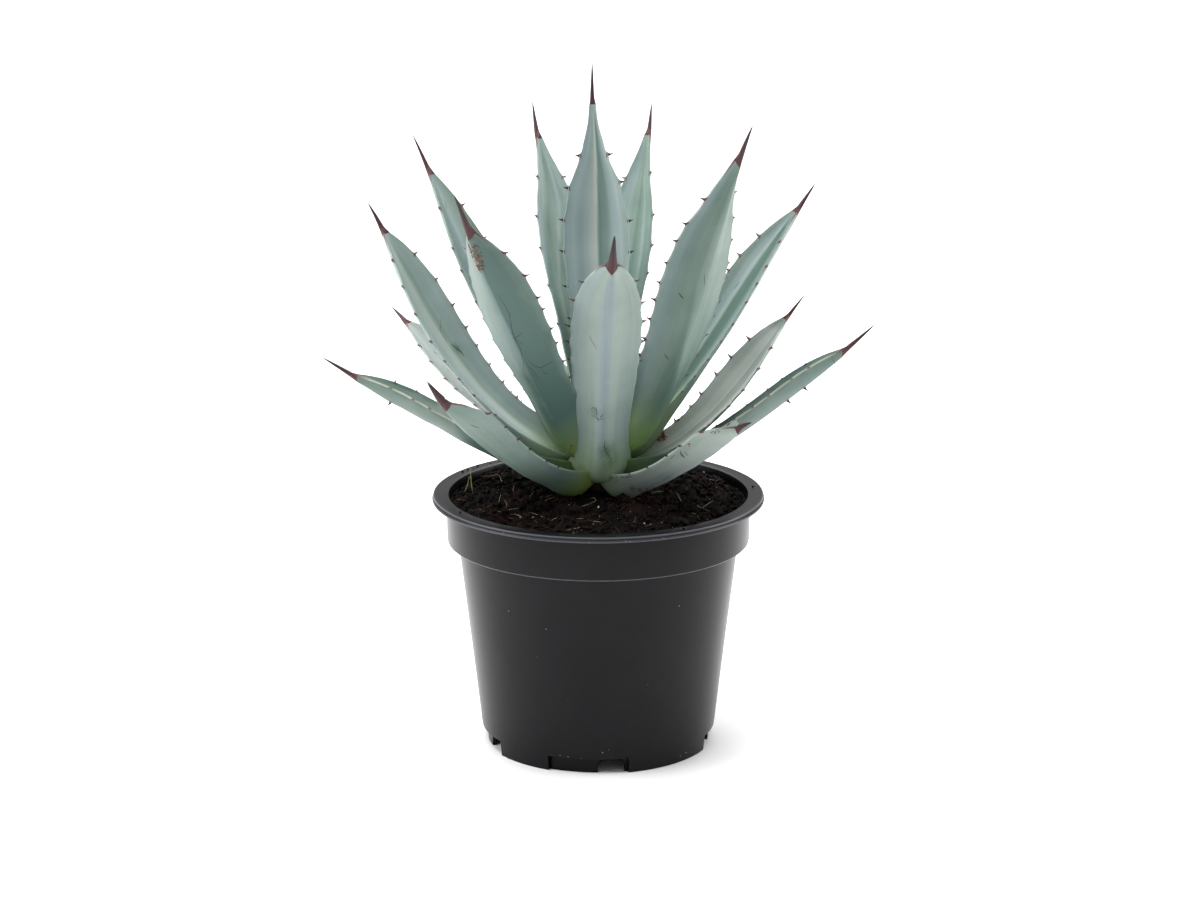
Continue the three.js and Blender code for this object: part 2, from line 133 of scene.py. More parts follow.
def dress(piece, material, nodes, angle):
    """Finishes a piece, smooth up to an angle, and lets it stand for its CAD nodes."""
    settle(piece)
    piece.data.materials.clear()
    piece.data.materials.append(material)
    bpy.ops.object.shade_smooth_by_angle(angle=math.radians(angle))
    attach(piece, "root")
    if nodes:
        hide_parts(*nodes)


bpy.ops.object.select_all(action="DESELECT")
first_radius, first_height = POT_WALL[0]
bpy.ops.mesh.primitive_circle_add(
    vertices=POT_SIDES, radius=first_radius * MM, location=(0, 0, first_height * MM)
)
pot = start("pot_moulding")
bpy.ops.object.mode_set(mode="EDIT")
bpy.ops.mesh.select_all(action="SELECT")
draw_out(POT_WALL)
# The first and the last ring both lie at the drain hole: bridging them closes the wall.
bpy.ops.object.mode_set(mode="OBJECT")
for edge in pot.data.edges:
    edge.select = False
for vertex in pot.data.vertices:
    vertex.select = abs(vertex.co.to_2d().length - first_radius * MM) < 1e-5
bpy.ops.object.mode_set(mode="EDIT")
bpy.ops.mesh.select_mode(type="VERT")
bpy.ops.object.mode_set(mode="OBJECT")
for edge in pot.data.edges:
    a, b = (pot.data.vertices[i] for i in edge.vertices)
    edge.select = a.select and b.select and abs(a.co.z - b.co.z) < 1e-6
bpy.ops.object.mode_set(mode="EDIT")
bpy.ops.mesh.select_mode(type="EDGE")
bpy.ops.mesh.bridge_edge_loops()
face_outwards()
settle(pot)

for centre, side in zip(NOTCH_CENTRES, NOTCH_ARCH_SIDES):
    # The wide recess in the foot: a plane in strips, raised and bent to a wedge of a ring.
    bpy.ops.object.select_all(action="DESELECT")
    bpy.ops.mesh.primitive_plane_add(size=1)
    recess = start("recess")
    bpy.ops.object.mode_set(mode="EDIT")
    bpy.ops.mesh.subdivide(number_cuts=NOTCH_STEPS - 1)
    bpy.ops.mesh.select_all(action="SELECT")
    bpy.ops.mesh.extrude_region_move(TRANSFORM_OT_translate={"value": (0, 0, 1)})
    bpy.ops.object.mode_set(mode="OBJECT")
    inner, outer = FOOT_RADIUS - NOTCH_DEPTH, FOOT_RADIUS + 5
    for vertex in recess.data.vertices:
        x, y, z = vertex.co
        reach = inner + (outer - inner) * (y + 0.5)
        foot_level = -1.0 if z < 0.5 else NOTCH_HEIGHT
        vertex.co = polar(centre + x * NOTCH_ANGLE, reach, foot_level) * MM
    bpy.ops.object.mode_set(mode="EDIT")
    face_outwards()
    settle(recess)
    cut(pot, recess)
    # The arched mouth through the foot wall, at one end of the recess.
    bpy.ops.object.select_all(action="DESELECT")
    bpy.ops.mesh.primitive_cube_add(size=1, location=(0, 0, 0))
    arch = start("arch")
    arch.scale = (ARCH_WIDTH * MM, ARCH_DEPTH * MM, (ARCH_HEIGHT + 2) * MM)
    settle(arch)
    for edge in arch.data.edges:
        ends = [arch.data.vertices[i].co for i in edge.vertices]
        edge.select = all(p.z > 0 for p in ends) and abs(ends[0].x - ends[1].x) < 1e-6
    bpy.ops.object.mode_set(mode="EDIT")
    bpy.ops.mesh.select_mode(type="EDGE")
    bpy.ops.mesh.bevel(offset=ARCH_ROUNDING * MM, segments=8, affect="EDGES")
    bpy.ops.object.mode_set(mode="OBJECT")
    azimuth = centre + side * ARCH_SHIFT
    arch.rotation_euler = (0, 0, math.radians(azimuth))
    arch.location = polar(azimuth, FOOT_RADIUS, (ARCH_HEIGHT - 2) / 2) * MM
    settle(arch)
    cut(pot, arch)
    # The drain hole in the floor, behind the recess.
    bpy.ops.object.select_all(action="DESELECT")
    bpy.ops.mesh.primitive_cylinder_add(
        vertices=DRAIN_SIDES, radius=DRAIN_RADIUS * MM, depth=8 * MM,
        location=polar(centre, DRAIN_CIRCLE, 9) * MM,
    )
    drain = start("drain")
    settle(drain)
    cut(pot, drain)


def linear(colour):
    """Linear RGBA of an sRGB hex colour."""
    parts = [int(colour[i:i + 2], 16) / 255 for i in (1, 3, 5)]
    return [p / 12.92 if p <= 0.04045 else ((p + 0.055) / 1.055) ** 2.4 for p in parts] + [1.0]


def node(material, kind, settings=None, links=None):
    """Adds a node: settings are its own options or the values of its sockets."""
    made = material.node_tree.nodes.new(kind)
    for key, value in (settings or {}).items():
        if isinstance(key, str) and hasattr(made, key):
            setattr(made, key, value)
        else:
            made.inputs[key].default_value = value
    for key, source in (links or {}).items():
        material.node_tree.links.new(source, made.inputs[key])
    return made


def surface(name, **settings):
    """A material and its shader, with the shader's own values set."""
    material = bpy.data.materials.new(name)
    material.use_nodes = True
    shader = material.node_tree.nodes["Principled BSDF"]
    for key, value in settings.items():
        shader.inputs[key.replace("_", " ")].default_value = value
    return material, shader


# Moulded polypropylene, charcoal: satin, with a soft mould texture of about 0.4 mm and the
# dry film of dust that a pot gets on a bench, and painted highlights on its edges.
plastic, shader = surface("polypropylene_moulded_charcoal", Roughness=0.36, IOR=1.49,
                          Specular_IOR_Level=0.15)
place = node(plastic, "ShaderNodeTexCoord").outputs["Object"]
dust = node(plastic, "ShaderNodeTexNoise", {"Scale": 38, "Detail": 6, "Roughness": 0.65},
            {"Vector": place})
film = node(plastic, "ShaderNodeMapRange",
            {"From Min": 0.45, "From Max": 0.8, "To Min": 0.0, "To Max": 1.0},
            {"Value": dust.outputs["Fac"]})
colour = node(plastic, "ShaderNodeMix",
              {"data_type": "RGBA", 6: linear("#0d0d10"), 7: linear("#131316")},
              {0: film.outputs["Result"]})
# Painted highlights: the turned lip and the foot of the skirt are painted paler, where light
# catches their edges. Painted shade: the recesses of the foot are painted nearly black. Distance
# from the axis and height in metres place both. Each edge is a radius and a height, how far the
# painted highlight spreads, how strong it is, and its colour.
spot = node(plastic, "ShaderNodeSeparateXYZ", {}, {"Vector": place})
flat = node(plastic, "ShaderNodeCombineXYZ", {}, {"X": spot.outputs["X"], "Y": spot.outputs["Y"]})
profile = node(plastic, "ShaderNodeCombineXYZ", {}, {
    "X": node(plastic, "ShaderNodeVectorMath", {"operation": "LENGTH"},
              {0: flat.outputs["Vector"]}).outputs["Value"],
    "Y": spot.outputs["Z"]})
paint = colour.outputs[2]
# Painted highlight along each edge, mixed into the base colour.
for (radius, height), spread, strength, tint in (
    ((84.6, 129.6), 2.1, 0.75, "#3c3c40"), ((84.9, 128.5), 0.7, 0.5, "#5a5a5e"),
    ((84.2, 130.8), 0.6, 0.5, "#6a6a6e"), ((76.9, 106.7), 0.9, 0.6, "#6e6e72"),
):
    away = node(plastic, "ShaderNodeVectorMath",
                {"operation": "DISTANCE", 1: (radius * MM, height * MM, 0)},
                {0: profile.outputs["Vector"]})
    edge_highlight = node(plastic, "ShaderNodeMapRange",
                {"From Min": spread * MM, "From Max": spread * MM * 0.4,
                 "To Max": strength},
                {"Value": away.outputs["Value"]})
    paint = node(plastic, "ShaderNodeMix", {"data_type": "RGBA", 7: linear(tint)},
                 {0: edge_highlight.outputs["Result"], 6: paint}).outputs[2]
across = node(plastic, "ShaderNodeSeparateXYZ", {}, {"Vector": profile.outputs["Vector"]})
# Painted shade: the base colour goes nearly black inside the recesses of the foot, below 8.7 mm and
# inside a radius of 58.5 mm.
recess_shade = node(plastic, "ShaderNodeMath", {"operation": "MULTIPLY"}, {
    0: node(plastic, "ShaderNodeMapRange", {"From Min": 58.5 * MM, "From Max": 58 * MM},
            {"Value": across.outputs["X"]}).outputs["Result"],
    1: node(plastic, "ShaderNodeMapRange", {"From Min": 8.7 * MM, "From Max": 7.9 * MM},
            {"Value": across.outputs["Y"]}).outputs["Result"]})
paint = node(plastic, "ShaderNodeMix", {"data_type": "RGBA", 7: linear("#020202")},
             {0: recess_shade.outputs["Value"], 6: paint}).outputs[2]
rough = node(plastic, "ShaderNodeMapRange", {"To Min": 0.26, "To Max": 0.32},
             {"Value": dust.outputs["Fac"]})
grain = node(plastic, "ShaderNodeTexNoise", {"Scale": 2500, "Detail": 2}, {"Vector": place})
bump = node(plastic, "ShaderNodeBump", {"Strength": 0.12, "Distance": 0.0001},
            {"Height": grain.outputs["Fac"]})
plastic.node_tree.links.new(paint, shader.inputs["Base Color"])
plastic.node_tree.links.new(rough.outputs["Result"], shader.inputs["Roughness"])
plastic.node_tree.links.new(bump.outputs["Normal"], shader.inputs["Normal"])
dress(pot, plastic, ["pot"], 30)

# ------------------------------------------------------------------------------------- peat
# Coarse dark peat with coir fibres, bark crumbs and a little perlite, filled to a few
# millimetres under the rim and mounded at the stem. The mound is one closed body; crumbs,
# fibres, grains and straws lie on it.
SOIL_EDGE = 126.5
SOIL_CENTRE = 132.5
SOIL_RADIUS = 75.9
SOIL_BODY = [(75.9, 108.1), (70.3, 107.5), (60.3, 10.3)]
SOIL_CELLS = 230
SWELL_SIZE = 19.0
SWELL_HEIGHT = 2.2
CLOD_SIZE = 8.0
CLOD_HEIGHT = 2.0
CRUMB_SIZE = 2.1
CRUMB_HEIGHT = 1.0
LOOSE_CRUMBS = 3000
LOOSE_CLODS = 240
COIR_FIBRES = 280
FINE_ROOTS = 26
PERLITE_GRAINS = 46
BARK_SPECKS = 260


def soil_level(x, y):
    """Height of the peat in millimetres at a place in millimetres."""
    share = min(1.0, math.hypot(x, y) / SOIL_RADIUS)
    level = SOIL_CENTRE + (SOIL_EDGE - SOIL_CENTRE) * share * share
    swells = noise.noise(Vector((x, y, 40.0)) / SWELL_SIZE)
    clods = noise.fractal(Vector((x, y, 3.0)) / CLOD_SIZE, 1.0, 2.0, 3)
    crumbs = noise.fractal(Vector((x, y, 9.0)) / CRUMB_SIZE, 0.8, 2.0, 2)
    calm_at_wall = min(1.0, (1.0 - share) * 8 + 0.35)
    relief = SWELL_HEIGHT * swells + CLOD_HEIGHT * clods + CRUMB_HEIGHT * crumbs
    return level + calm_at_wall * relief


bpy.ops.object.select_all(action="DESELECT")
bpy.ops.mesh.primitive_grid_add(x_subdivisions=SOIL_CELLS, y_subdivisions=SOIL_CELLS, size=2)
soil = start("peat_mound")
for vertex in soil.data.vertices:
    x, y, _ = vertex.co
    across = x * math.sqrt(1 - y * y / 2) * SOIL_RADIUS
    back = y * math.sqrt(1 - x * x / 2) * SOIL_RADIUS
    vertex.co = Vector((across, back, soil_level(across, back))) * MM
bpy.ops.object.mode_set(mode="EDIT")
bpy.ops.mesh.select_all(action="DESELECT")
bpy.ops.mesh.select_mode(type="EDGE")
bpy.ops.mesh.select_non_manifold()
radius = SOIL_RADIUS
for next_radius, level in SOIL_BODY:
    bpy.ops.mesh.extrude_region_move()
    ratio = next_radius / radius
    bpy.ops.transform.resize(value=(ratio, ratio, 0), center_override=(0, 0, level * MM))
    radius = next_radius
bpy.ops.mesh.fill_holes(sides=0)
bpy.ops.mesh.edge_face_add()
face_outwards()
settle(soil)

# Moist peat: nearly black brown, matt, in crumbs of 1 to 3 mm with paler dry edges.
peat, shader = surface("peat_moist_coarse", Roughness=0.9, Specular_IOR_Level=0.12)
place = node(peat, "ShaderNodeTexCoord").outputs["Object"]
lumps = node(peat, "ShaderNodeTexNoise", {"Scale": 420, "Detail": 6, "Roughness": 0.7},
             {"Vector": place})
ramp = node(peat, "ShaderNodeValToRGB", {}, {"Fac": lumps.outputs["Fac"]})
ramp.color_ramp.elements[0].position = 0.36
ramp.color_ramp.elements[0].color = linear("#040302")
ramp.color_ramp.elements[1].position = 0.8
ramp.color_ramp.elements[1].color = linear("#3a241a")
middle = ramp.color_ramp.elements.new(0.56)
middle.color = linear("#090504")
clumps = node(peat, "ShaderNodeTexNoise", {"Scale": 42, "Detail": 3}, {"Vector": place})
rusty = node(peat, "ShaderNodeMapRange", {"From Min": 0.5, "From Max": 0.68},
             {"Value": clumps.outputs["Fac"]})
warm = node(peat, "ShaderNodeMix",
            {"data_type": "RGBA", "blend_type": "ADD", 7: (0.007, 0.002, 0.0015, 1.0)},
            {0: rusty.outputs["Result"], 6: ramp.outputs["Color"]})
pits = node(peat, "ShaderNodeBump", {"Strength": 0.9, "Distance": 0.0008},
            {"Height": lumps.outputs["Fac"]})
peat.node_tree.links.new(warm.outputs[2], shader.inputs["Base Color"])
peat.node_tree.links.new(pits.outputs["Normal"], shader.inputs["Normal"])
dress(soil, peat, ["soil"], 180)

chance = random.Random(5)


def body(name, corners, faces):
    """A piece from its corners in metres and its faces."""
    mesh = bpy.data.meshes.new(name)
    mesh.from_pydata(corners.tolist(), [], faces)
    made = bpy.data.objects.new(name, mesh)
    bpy.context.collection.objects.link(made)
    return made


def scatter(name, pattern, places, material):
    """One piece of many copies of a small pattern, each at its own place, turn and bend."""
    corners = np.array([v.co[:] for v in pattern.data.vertices])
    faces = [tuple(p.vertices) for p in pattern.data.polygons]
    spots, skins = [], []
    for matrix, bend in places:
        turned = corners.copy()
        if bend:
            turned[:, 0] += bend * turned[:, 1] ** 2
        full = np.c_[turned, np.ones(len(turned))] @ np.array(matrix).T
        skins += [tuple(i + len(spots) * len(corners) for i in face) for face in faces]
        spots.append(full[:, :3])
    bpy.data.objects.remove(pattern)
    made = body(name, np.concatenate(spots), skins)
    made.data.validate()
    dress(made, material, [], 40)


def lying(x, y, lift, size, tilt=0.5):
    """Where a loose bit of a size in millimetres lies on the peat, turned at random."""
    spin = chance.uniform(0, 360)
    tip = [math.radians(chance.uniform(-90, 90) * tilt) for _ in range(2)]
    rotation = (
        Matrix.Rotation(math.radians(spin), 4, "Z")
        @ Matrix.Rotation(tip[0], 4, "X")
        @ Matrix.Rotation(tip[1], 4, "Y")
    )
    scale = Matrix.Diagonal([s * MM for s in size] + [1])
    return Matrix.Translation(Vector((x, y, soil_level(x, y) + lift)) * MM) @ rotation @ scale


def anywhere(inner=9.0, outer=74.0):
    """A random place on the ring of open peat, in millimetres."""
    reach = math.sqrt(chance.uniform(inner * inner, outer * outer))
    turn = chance.uniform(0, 2 * math.pi)
    return reach * math.sin(turn), -reach * math.cos(turn)


def crumb(name, wobble, fineness=1):
    """An angular lump about 1 across, from a low sphere with its corners pushed about."""
    bpy.ops.object.select_all(action="DESELECT")
    bpy.ops.mesh.primitive_ico_sphere_add(subdivisions=fineness, radius=0.5)
    lump = start(name)
    for vertex in lump.data.vertices:
        vertex.co *= 1 + chance.uniform(-wobble, wobble)
    return lump


def strand(name, steps, sides, ragged):
    """A thin tapered hair, 1 long along Y and about 1 thick."""
    bpy.ops.object.select_all(action="DESELECT")
    bpy.ops.mesh.primitive_cylinder_add(vertices=sides, radius=0.5, depth=1)
    hair = start(name)
    bpy.ops.object.mode_set(mode="EDIT")
    for i in range(1, steps):
        bpy.ops.mesh.select_all(action="SELECT")
        bpy.ops.mesh.bisect(plane_co=(0, 0, i / steps - 0.5), plane_no=(0, 0, 1))
    bpy.ops.object.mode_set(mode="OBJECT")
    for vertex in hair.data.vertices:
        x, y, z = vertex.co
        sway = ragged * noise.noise(Vector((z * 4, 0, len(name))))
        vertex.co = (x * (1.15 - abs(z)) + sway, z, y * (1.15 - abs(z)))
    return hair


# Crumbs of 0.7 to 3.7 mm that lie loose on the mound, most of them small.
crumbs = []
for _ in range(LOOSE_CRUMBS):
    x, y = anywhere()
    size = 0.7 + 3.0 * chance.random() ** 2.5
    crumbs.append((lying(x, y, size * 0.25, (size, size * 0.8, size * 0.65)), 0))
scatter("peat_crumbs", crumb("crumb", 0.3), crumbs, peat)

# Clods: lumps of matted peat that didn't break up, 2.5 to 10 mm across.
clods = []
for _ in range(LOOSE_CLODS):
    x, y = anywhere(12, 70)
    size = 2.5 + 7.5 * chance.random() ** 2
    clods.append((lying(x, y, size * 0.12, (size, size * 0.75, size * 0.6)), 0))
scatter("peat_clods", crumb("clod", 0.34, 2), clods, peat)

# Coir and bark fibres: dull red-brown, 2.5 to 10 mm long. Real ones are about 0.1 mm thick,
# and these are 0.16 to 0.42 mm, so that they show.
fibre, shader = surface("coir_fibre_dry", Roughness=0.8, Specular_IOR_Level=0.2)
place = node(fibre, "ShaderNodeTexCoord").outputs["Object"]
tint = node(fibre, "ShaderNodeTexNoise", {"Scale": 90}, {"Vector": place})
colour = node(fibre, "ShaderNodeMix",
              {"data_type": "RGBA", 6: linear("#150b08"), 7: linear("#553527")},
              {0: tint.outputs["Fac"]})
fibre.node_tree.links.new(colour.outputs[2], shader.inputs["Base Color"])
fibres = []
for _ in range(COIR_FIBRES):
    x, y = anywhere()
    long, thick = chance.uniform(2.5, 10), chance.uniform(0.16, 0.42)
    fibres.append((lying(x, y, 0.8, (thick, long, thick), tilt=0.3), chance.uniform(-14, 14)))
scatter("coir_fibres", strand("fibre", 5, 3, 0.6), fibres, fibre)

# Fine roots of the plant, dry and pale cream, and two grass straws by the rim, yellow-green.
# For each larger root its place on the peat and its length.
root_pale, shader = surface("plant_root_dry", Roughness=0.7)
shader.inputs["Base Color"].default_value = linear("#a8997a")
straw, shader = surface("grass_straw_dry", Roughness=0.6)
shader.inputs["Base Color"].default_value = linear("#848a4c")
ROOT_SPOTS = [(-50, -24, 9), (-46, -27, 7), (-29, 40, 8), (12, 60, 7), (35, 55, 9), (58, 30, 8),
              (-33, -7, 12), (2, -3, 14), (-6, -30, 11), (-23, -51, 16), (42, -26, 15),
              (-40, -42, 10), (-50, 20, 12), (60, 16, 13), (17, -55, 9), (32, -5, 11)]
roots = []
for x, y, long in ROOT_SPOTS:
    roots.append((lying(x, y, 1.4, (0.22, long, 0.22), tilt=0.5), chance.uniform(-55, 55)))
for _ in range(FINE_ROOTS):
    x, y = anywhere(15, 72)
    long = chance.uniform(4, 14)
    roots.append((lying(x, y, 1.2, (0.15, long, 0.15), tilt=0.25), chance.uniform(-60, 60)))
scatter("fine_roots", strand("root", 9, 4, 1.4), roots, root_pale)
# Each straw: its place, length, turn and tilt in degrees.
STRAWS = [(-66, 20, 22, 8, 38), (-68, 14, 15, -14, 30)]
straws = []
for x, y, long, turn, tilt in STRAWS:
    lift = 0.5 * long * math.sin(math.radians(tilt)) * 0.8
    matrix = (
        Matrix.Translation(Vector((x, y, soil_level(x, y) + lift)) * MM)
        @ Matrix.Rotation(math.radians(turn), 4, "Z")
        @ Matrix.Rotation(math.radians(tilt), 4, "X")
        @ Matrix.Diagonal([0.35 * MM, long * MM, 0.25 * MM, 1])
    )
    straws.append((matrix, 6 if turn > 0 else -6))
scatter("grass_straws", strand("straw", 9, 4, 1.2), straws, straw)

# Crumbs that fell on the rim's flange: azimuth and reach of each.
RIM_CRUMBS = [(-118, 80.5), (-122, 81), (-124, 79.5), (-127, 80), (-129, 82), (-134, 79.5),
              (-60, 79.5), (96, 80), (150, 80), (31, 81)]
spilt = []
for azimuth, reach in RIM_CRUMBS:
    size = chance.uniform(0.9, 1.9)
    spot = polar(azimuth, reach, 131.0 + size * 0.25)
    spilt.append((Matrix.Translation(spot * MM) @ Matrix.Rotation(chance.uniform(0, 6), 4, "Z")
                  @ Matrix.Diagonal([size * MM, 0.8 * size * MM, 0.7 * size * MM, 1]), 0))
scatter("rim_crumbs", crumb("spilt", 0.3), spilt, peat)

# Perlite: expanded volcanic glass, chalk white and porous.
perlite_stone, shader = surface("perlite_expanded", Roughness=0.85)
shader.inputs["Base Color"].default_value = linear("#cfc8ba")
grains = []
for _ in range(PERLITE_GRAINS):
    x, y = anywhere(14, 73)
    size = chance.uniform(0.5, 1.5)
    grains.append((lying(x, y, size * 0.25, (size, size * 0.85, size * 0.7)), 0))
scatter("perlite_grains", crumb("grain", 0.2), grains, perlite_stone)

# Bark dust: tan specks, thickest at the front of the pot.
bark, shader = surface("bark_dust_dry", Roughness=0.85, Specular_IOR_Level=0.2)
shader.inputs["Base Color"].default_value = linear("#8a7258")
specks = []
for _ in range(BARK_SPECKS):
    x, y = anywhere(20, 73)
    if y > chance.uniform(-60, 60):
        continue
    size = chance.uniform(0.35, 1.1)
    specks.append((lying(x, y, size * 0.3, (size, size * 0.7, size * 0.5)), 0))
scatter("bark_specks", crumb("speck", 0.3), specks, bark)

# Dust that settled on the pot: pale specks of 0.35 to 0.75 mm on the rim's lip, the wall and
# the foot. Azimuth, reach and height of each.
dust_pale, shader = surface("dust_speck_pale", Roughness=0.9)
shader.inputs["Base Color"].default_value = linear("#a9a7a2")
DUST = [(-33, 84.7, 129.8), (9, 85, 129.2), (10.5, 85, 129), (-3, 85, 128.9), (22, 85, 129.3),
        (-38, 84.9, 128.8), (-13, 80, 131), (-9, 77, 131), (-18.5, 60.6, 9.2), (-14.5, 60.6, 8.9),
        (-8, 60.6, 8.7), (44, 60, 3.5), (48, 60.1, 4.2), (52, 60, 3.4), (2, 61, 12),
        (5, 61.2, 13.5), (-22, 68.8, 78), (-27, 67, 62), (22, 66, 48), (-14, 64, 40),
        (35, 70, 88), (-40, 69.5, 84), (6, 77.5, 118)]
settled = []
for azimuth, reach, height in DUST:
    size = chance.uniform(0.35, 0.75)
    settled.append((Matrix.Translation(polar(azimuth, reach, height) * MM)
                    @ Matrix.Diagonal([size * MM, 0.8 * size * MM, 0.6 * size * MM, 1]), 0))
scatter("dust_specks", crumb("dust", 0.3), settled, dust_pale)

# ------------------------------------------------------------------------------------- stem
# The short trunk that the leaves sit on: brown and corky, ringed with the torn remains of
# leaf bases. Its lower end is buried in the peat.
# Radius and height of each ring of the trunk.
STEM_RINGS = [
    (8.0, 104), (10.0, 133), (9.6, 137), (9.9, 139), (8.9, 143), (8.5, 146), (3.6, 163),
]
STEM_SIDES = 48
bpy.ops.object.select_all(action="DESELECT")
bpy.ops.mesh.primitive_circle_add(
    vertices=STEM_SIDES, radius=STEM_RINGS[0][0] * MM,
    location=(0, 0, STEM_RINGS[0][1] * MM), fill_type="NGON",
)
stem = start("stem_trunk")
bpy.ops.object.mode_set(mode="EDIT")
bpy.ops.mesh.select_all(action="SELECT")
draw_out(STEM_RINGS)
face_outwards()
# Cork: dull and flaky, dark brown with paler flakes of 2 to 4 mm.
cork, shader = surface("agave_stem_corky", Roughness=0.8)
place = node(cork, "ShaderNodeTexCoord").outputs["Object"]
flakes = node(cork, "ShaderNodeTexNoise", {"Scale": 260, "Detail": 5}, {"Vector": place})
colour = node(cork, "ShaderNodeMix",
              {"data_type": "RGBA", 6: linear("#150c08"), 7: linear("#4a3424")},
              {0: flakes.outputs["Fac"]})
flaky = node(cork, "ShaderNodeBump", {"Strength": 0.8, "Distance": 0.0006},
             {"Height": flakes.outputs["Fac"]})
cork.node_tree.links.new(colour.outputs[2], shader.inputs["Base Color"])
cork.node_tree.links.new(flaky.outputs["Normal"], shader.inputs["Normal"])
dress(stem, cork, ["stem"], 40)

# ----------------------------------------------------------------------------------- leaves
# Thick succulent blades: channelled above, keeled below, on a clasping base, with a thin
# horny margin that is drawn out into teeth. Each blade is a grid rolled round its section.
# Name, root and tip (azimuth, reach, height), rise at both ends, width, bluntness, and what
# differs from USUAL.
LEAVES = [
    ("heart", (0, 0, 158), (40, 3, 232), (88, 86), 20, 0.0,
     {"thickness": 12, "spine": 10, "light": 0.55}),
    ("01", (170, 5, 157), (187, 24, 326.5), (84, 84), 34, -0.1,
     {"spine": 21, "light": 0.64, "pitch": 1.5, "green": 0.2}),
    ("02", (-155, 6, 156), (-157, 80, 302), (74, 62), 38, 0.1,
     {"roll": (-20, -20), "spine": 20, "light": 0.5, "pitch": 1.6, "grey": 0.2}),
    ("03", (160, 6, 155), (159, 72, 304.5), (68, 68), 35, 0.1,
     {"roll": (20, 20), "light": 0.42, "pitch": 1.5, "grey": 0.3}),
    ("04", (60, 8, 154), (52, 85, 309.5), (46, 68), 40, 0.2,
     {"roll": (36, 10), "lift": -5, "spine": 19.5, "light": 0.32, "green": 0.6,
      "grey": 0.3, "young": 0.7}),
    ("11", (-42, 7, 153), (-40, 94.3, 278), (44, 64), 41, 0.8,
     {"roll": (-14, 0), "lift": -5, "spine": 22.5, "light": 0.22, "green": 0.75,
      "grey": 0.5, "young": 0.7}),
    ("12", (-115, 7, 152), (-124.5, 105, 285), (44, 62), 31, 0.5,
     {"roll": (2, 2), "lift": -5, "spine": 23.5, "light": 0.42, "grey": 0.3, "pitch": 1.5}),
    ("16", (135, 7, 151), (140, 80, 204), (34, 46), 31, 0.5, {"spine": 13}),
    ("05", (102, 8, 150), (108, 105.7, 270), (40, 54), 34, 0.5,
     {"roll": (-8, -8), "lift": -2, "spine": 18, "light": 0.3, "green": 0.2,
      "grey": 0.8, "young": 1.6}),
    ("17", (-148, 8, 150), (-150, 83, 198), (32, 44), 30, 0.5, {"spine": 13}),
    ("18", (182, 8, 149), (178, 72, 256), (48, 60), 34, 0.5, {"spine": 15}),
    ("13", (-100, 8, 148), (-109, 115.6, 258), (18, 64), 34, 0.7,
     {"roll": (12, 12), "lift": -9, "spine": 18.5, "light": 0.68, "green": 0.0,
      "grey": 0.1, "pitch": 1.15}),
    ("09", (5, 12, 142), (5, 75, 262), (34, 46), 36, 0.8,
     {"hold": 0.13, "lift": 22, "yaw": 4, "spine": 20, "collar": 1.4, "clasp": 0.3,
      "light": 0.58, "green": 0.25, "grey": 0.5, "young": 0.35, "toothed": 0.5}),
    ("06", (100, 8, 146), (110, 102.5, 213.7), (4, 50), 25, 0.6,
     {"roll": (-16, -16), "lift": -4, "spine": 16.5, "light": 0.72, "horn": -0.22}),
    ("14", (-130, 8, 144), (-125, 123, 204), (12, 42), 33, 0.7,
     {"lift": -12, "spine": 13.5, "light": 0.7, "grey": 1.0, "horn": -0.15}),
    ("19", (152, 8, 143), (152, 84, 192), (18, 36), 31, 0.8, {"spine": 13}),
    ("20", (-175, 8, 142), (-178, 72, 178), (20, 34), 32, 0.8, {"spine": 13}),
    ("07", (82, 8, 142), (93, 124, 203.3), (10, 37), 34, 0.6,
     {"roll": (8, 8), "lift": 4, "spine": 21.25, "light": -0.1, "edge": 0.7,
      "grey": 0.9, "keel_teeth": (0.72, 0.8)}),
    ("15", (-85, 8, 141), (-93, 123, 190), (14, 28), 34, 0.6,
     {"roll": (-6, -6), "lift": 2, "spine": 20.1, "light": -0.14, "edge": 0.7,
      "grey": 0.6, "keel_teeth": (0.83,)}),
    ("10", (-45, 9, 140), (-52, 94, 191), (10, 46), 37, 1.2,
     {"collar": 1.4, "light": 0.36, "green": 0.3, "grey": 0.5, "young": 1.0}),
    ("08", (45, 9, 139), (57, 82, 176), (8, 42), 38, 1.2,
     {"lift": -28, "spine": 9, "light": 0.66, "green": 0.12, "grey": 0.8, "young": 0.35}),
]
# Form: hold is the pull of the rise at the root, roll the turn about the midline at both
# ends, spine its length, lift and yaw its bend, collar and clasp the spread under the spine
# and at the foot. Teeth: toothed is the share of the length that bears them, pitch spreads
# them, keel_teeth are shares where the keel has one. Look: light is how pale the bloom is,
# green how worn it is low on the blade, grey how much green it lacks, edge how pale the
# margin is, horn how dark the spine is, and young how yellow-green the foot is: over 1, the
# foot is paler again, and its colour reaches higher.
USUAL = {"hold": 0.35, "roll": (0, 0), "spine": 17, "lift": 6, "yaw": 0, "thickness": 10,
         "collar": 1.0, "clasp": 0.0, "toothed": 0.72, "pitch": 1.0, "keel_teeth": (),
         "light": 0.5, "green": 0.45, "grey": 0.0, "edge": 0.15, "horn": 0.0, "young": 0.45}
# Share of the length, and half of the width there of a young blade and of an old blunt one.
OUTLINE = [(0, .62, .62), (.07, .84, .84), (.25, .76, .74), (.6, 1, .98), (.76, .8, .97),
           (.86, .43, .84), (.94, .2, .52), (1, .1, .14)]
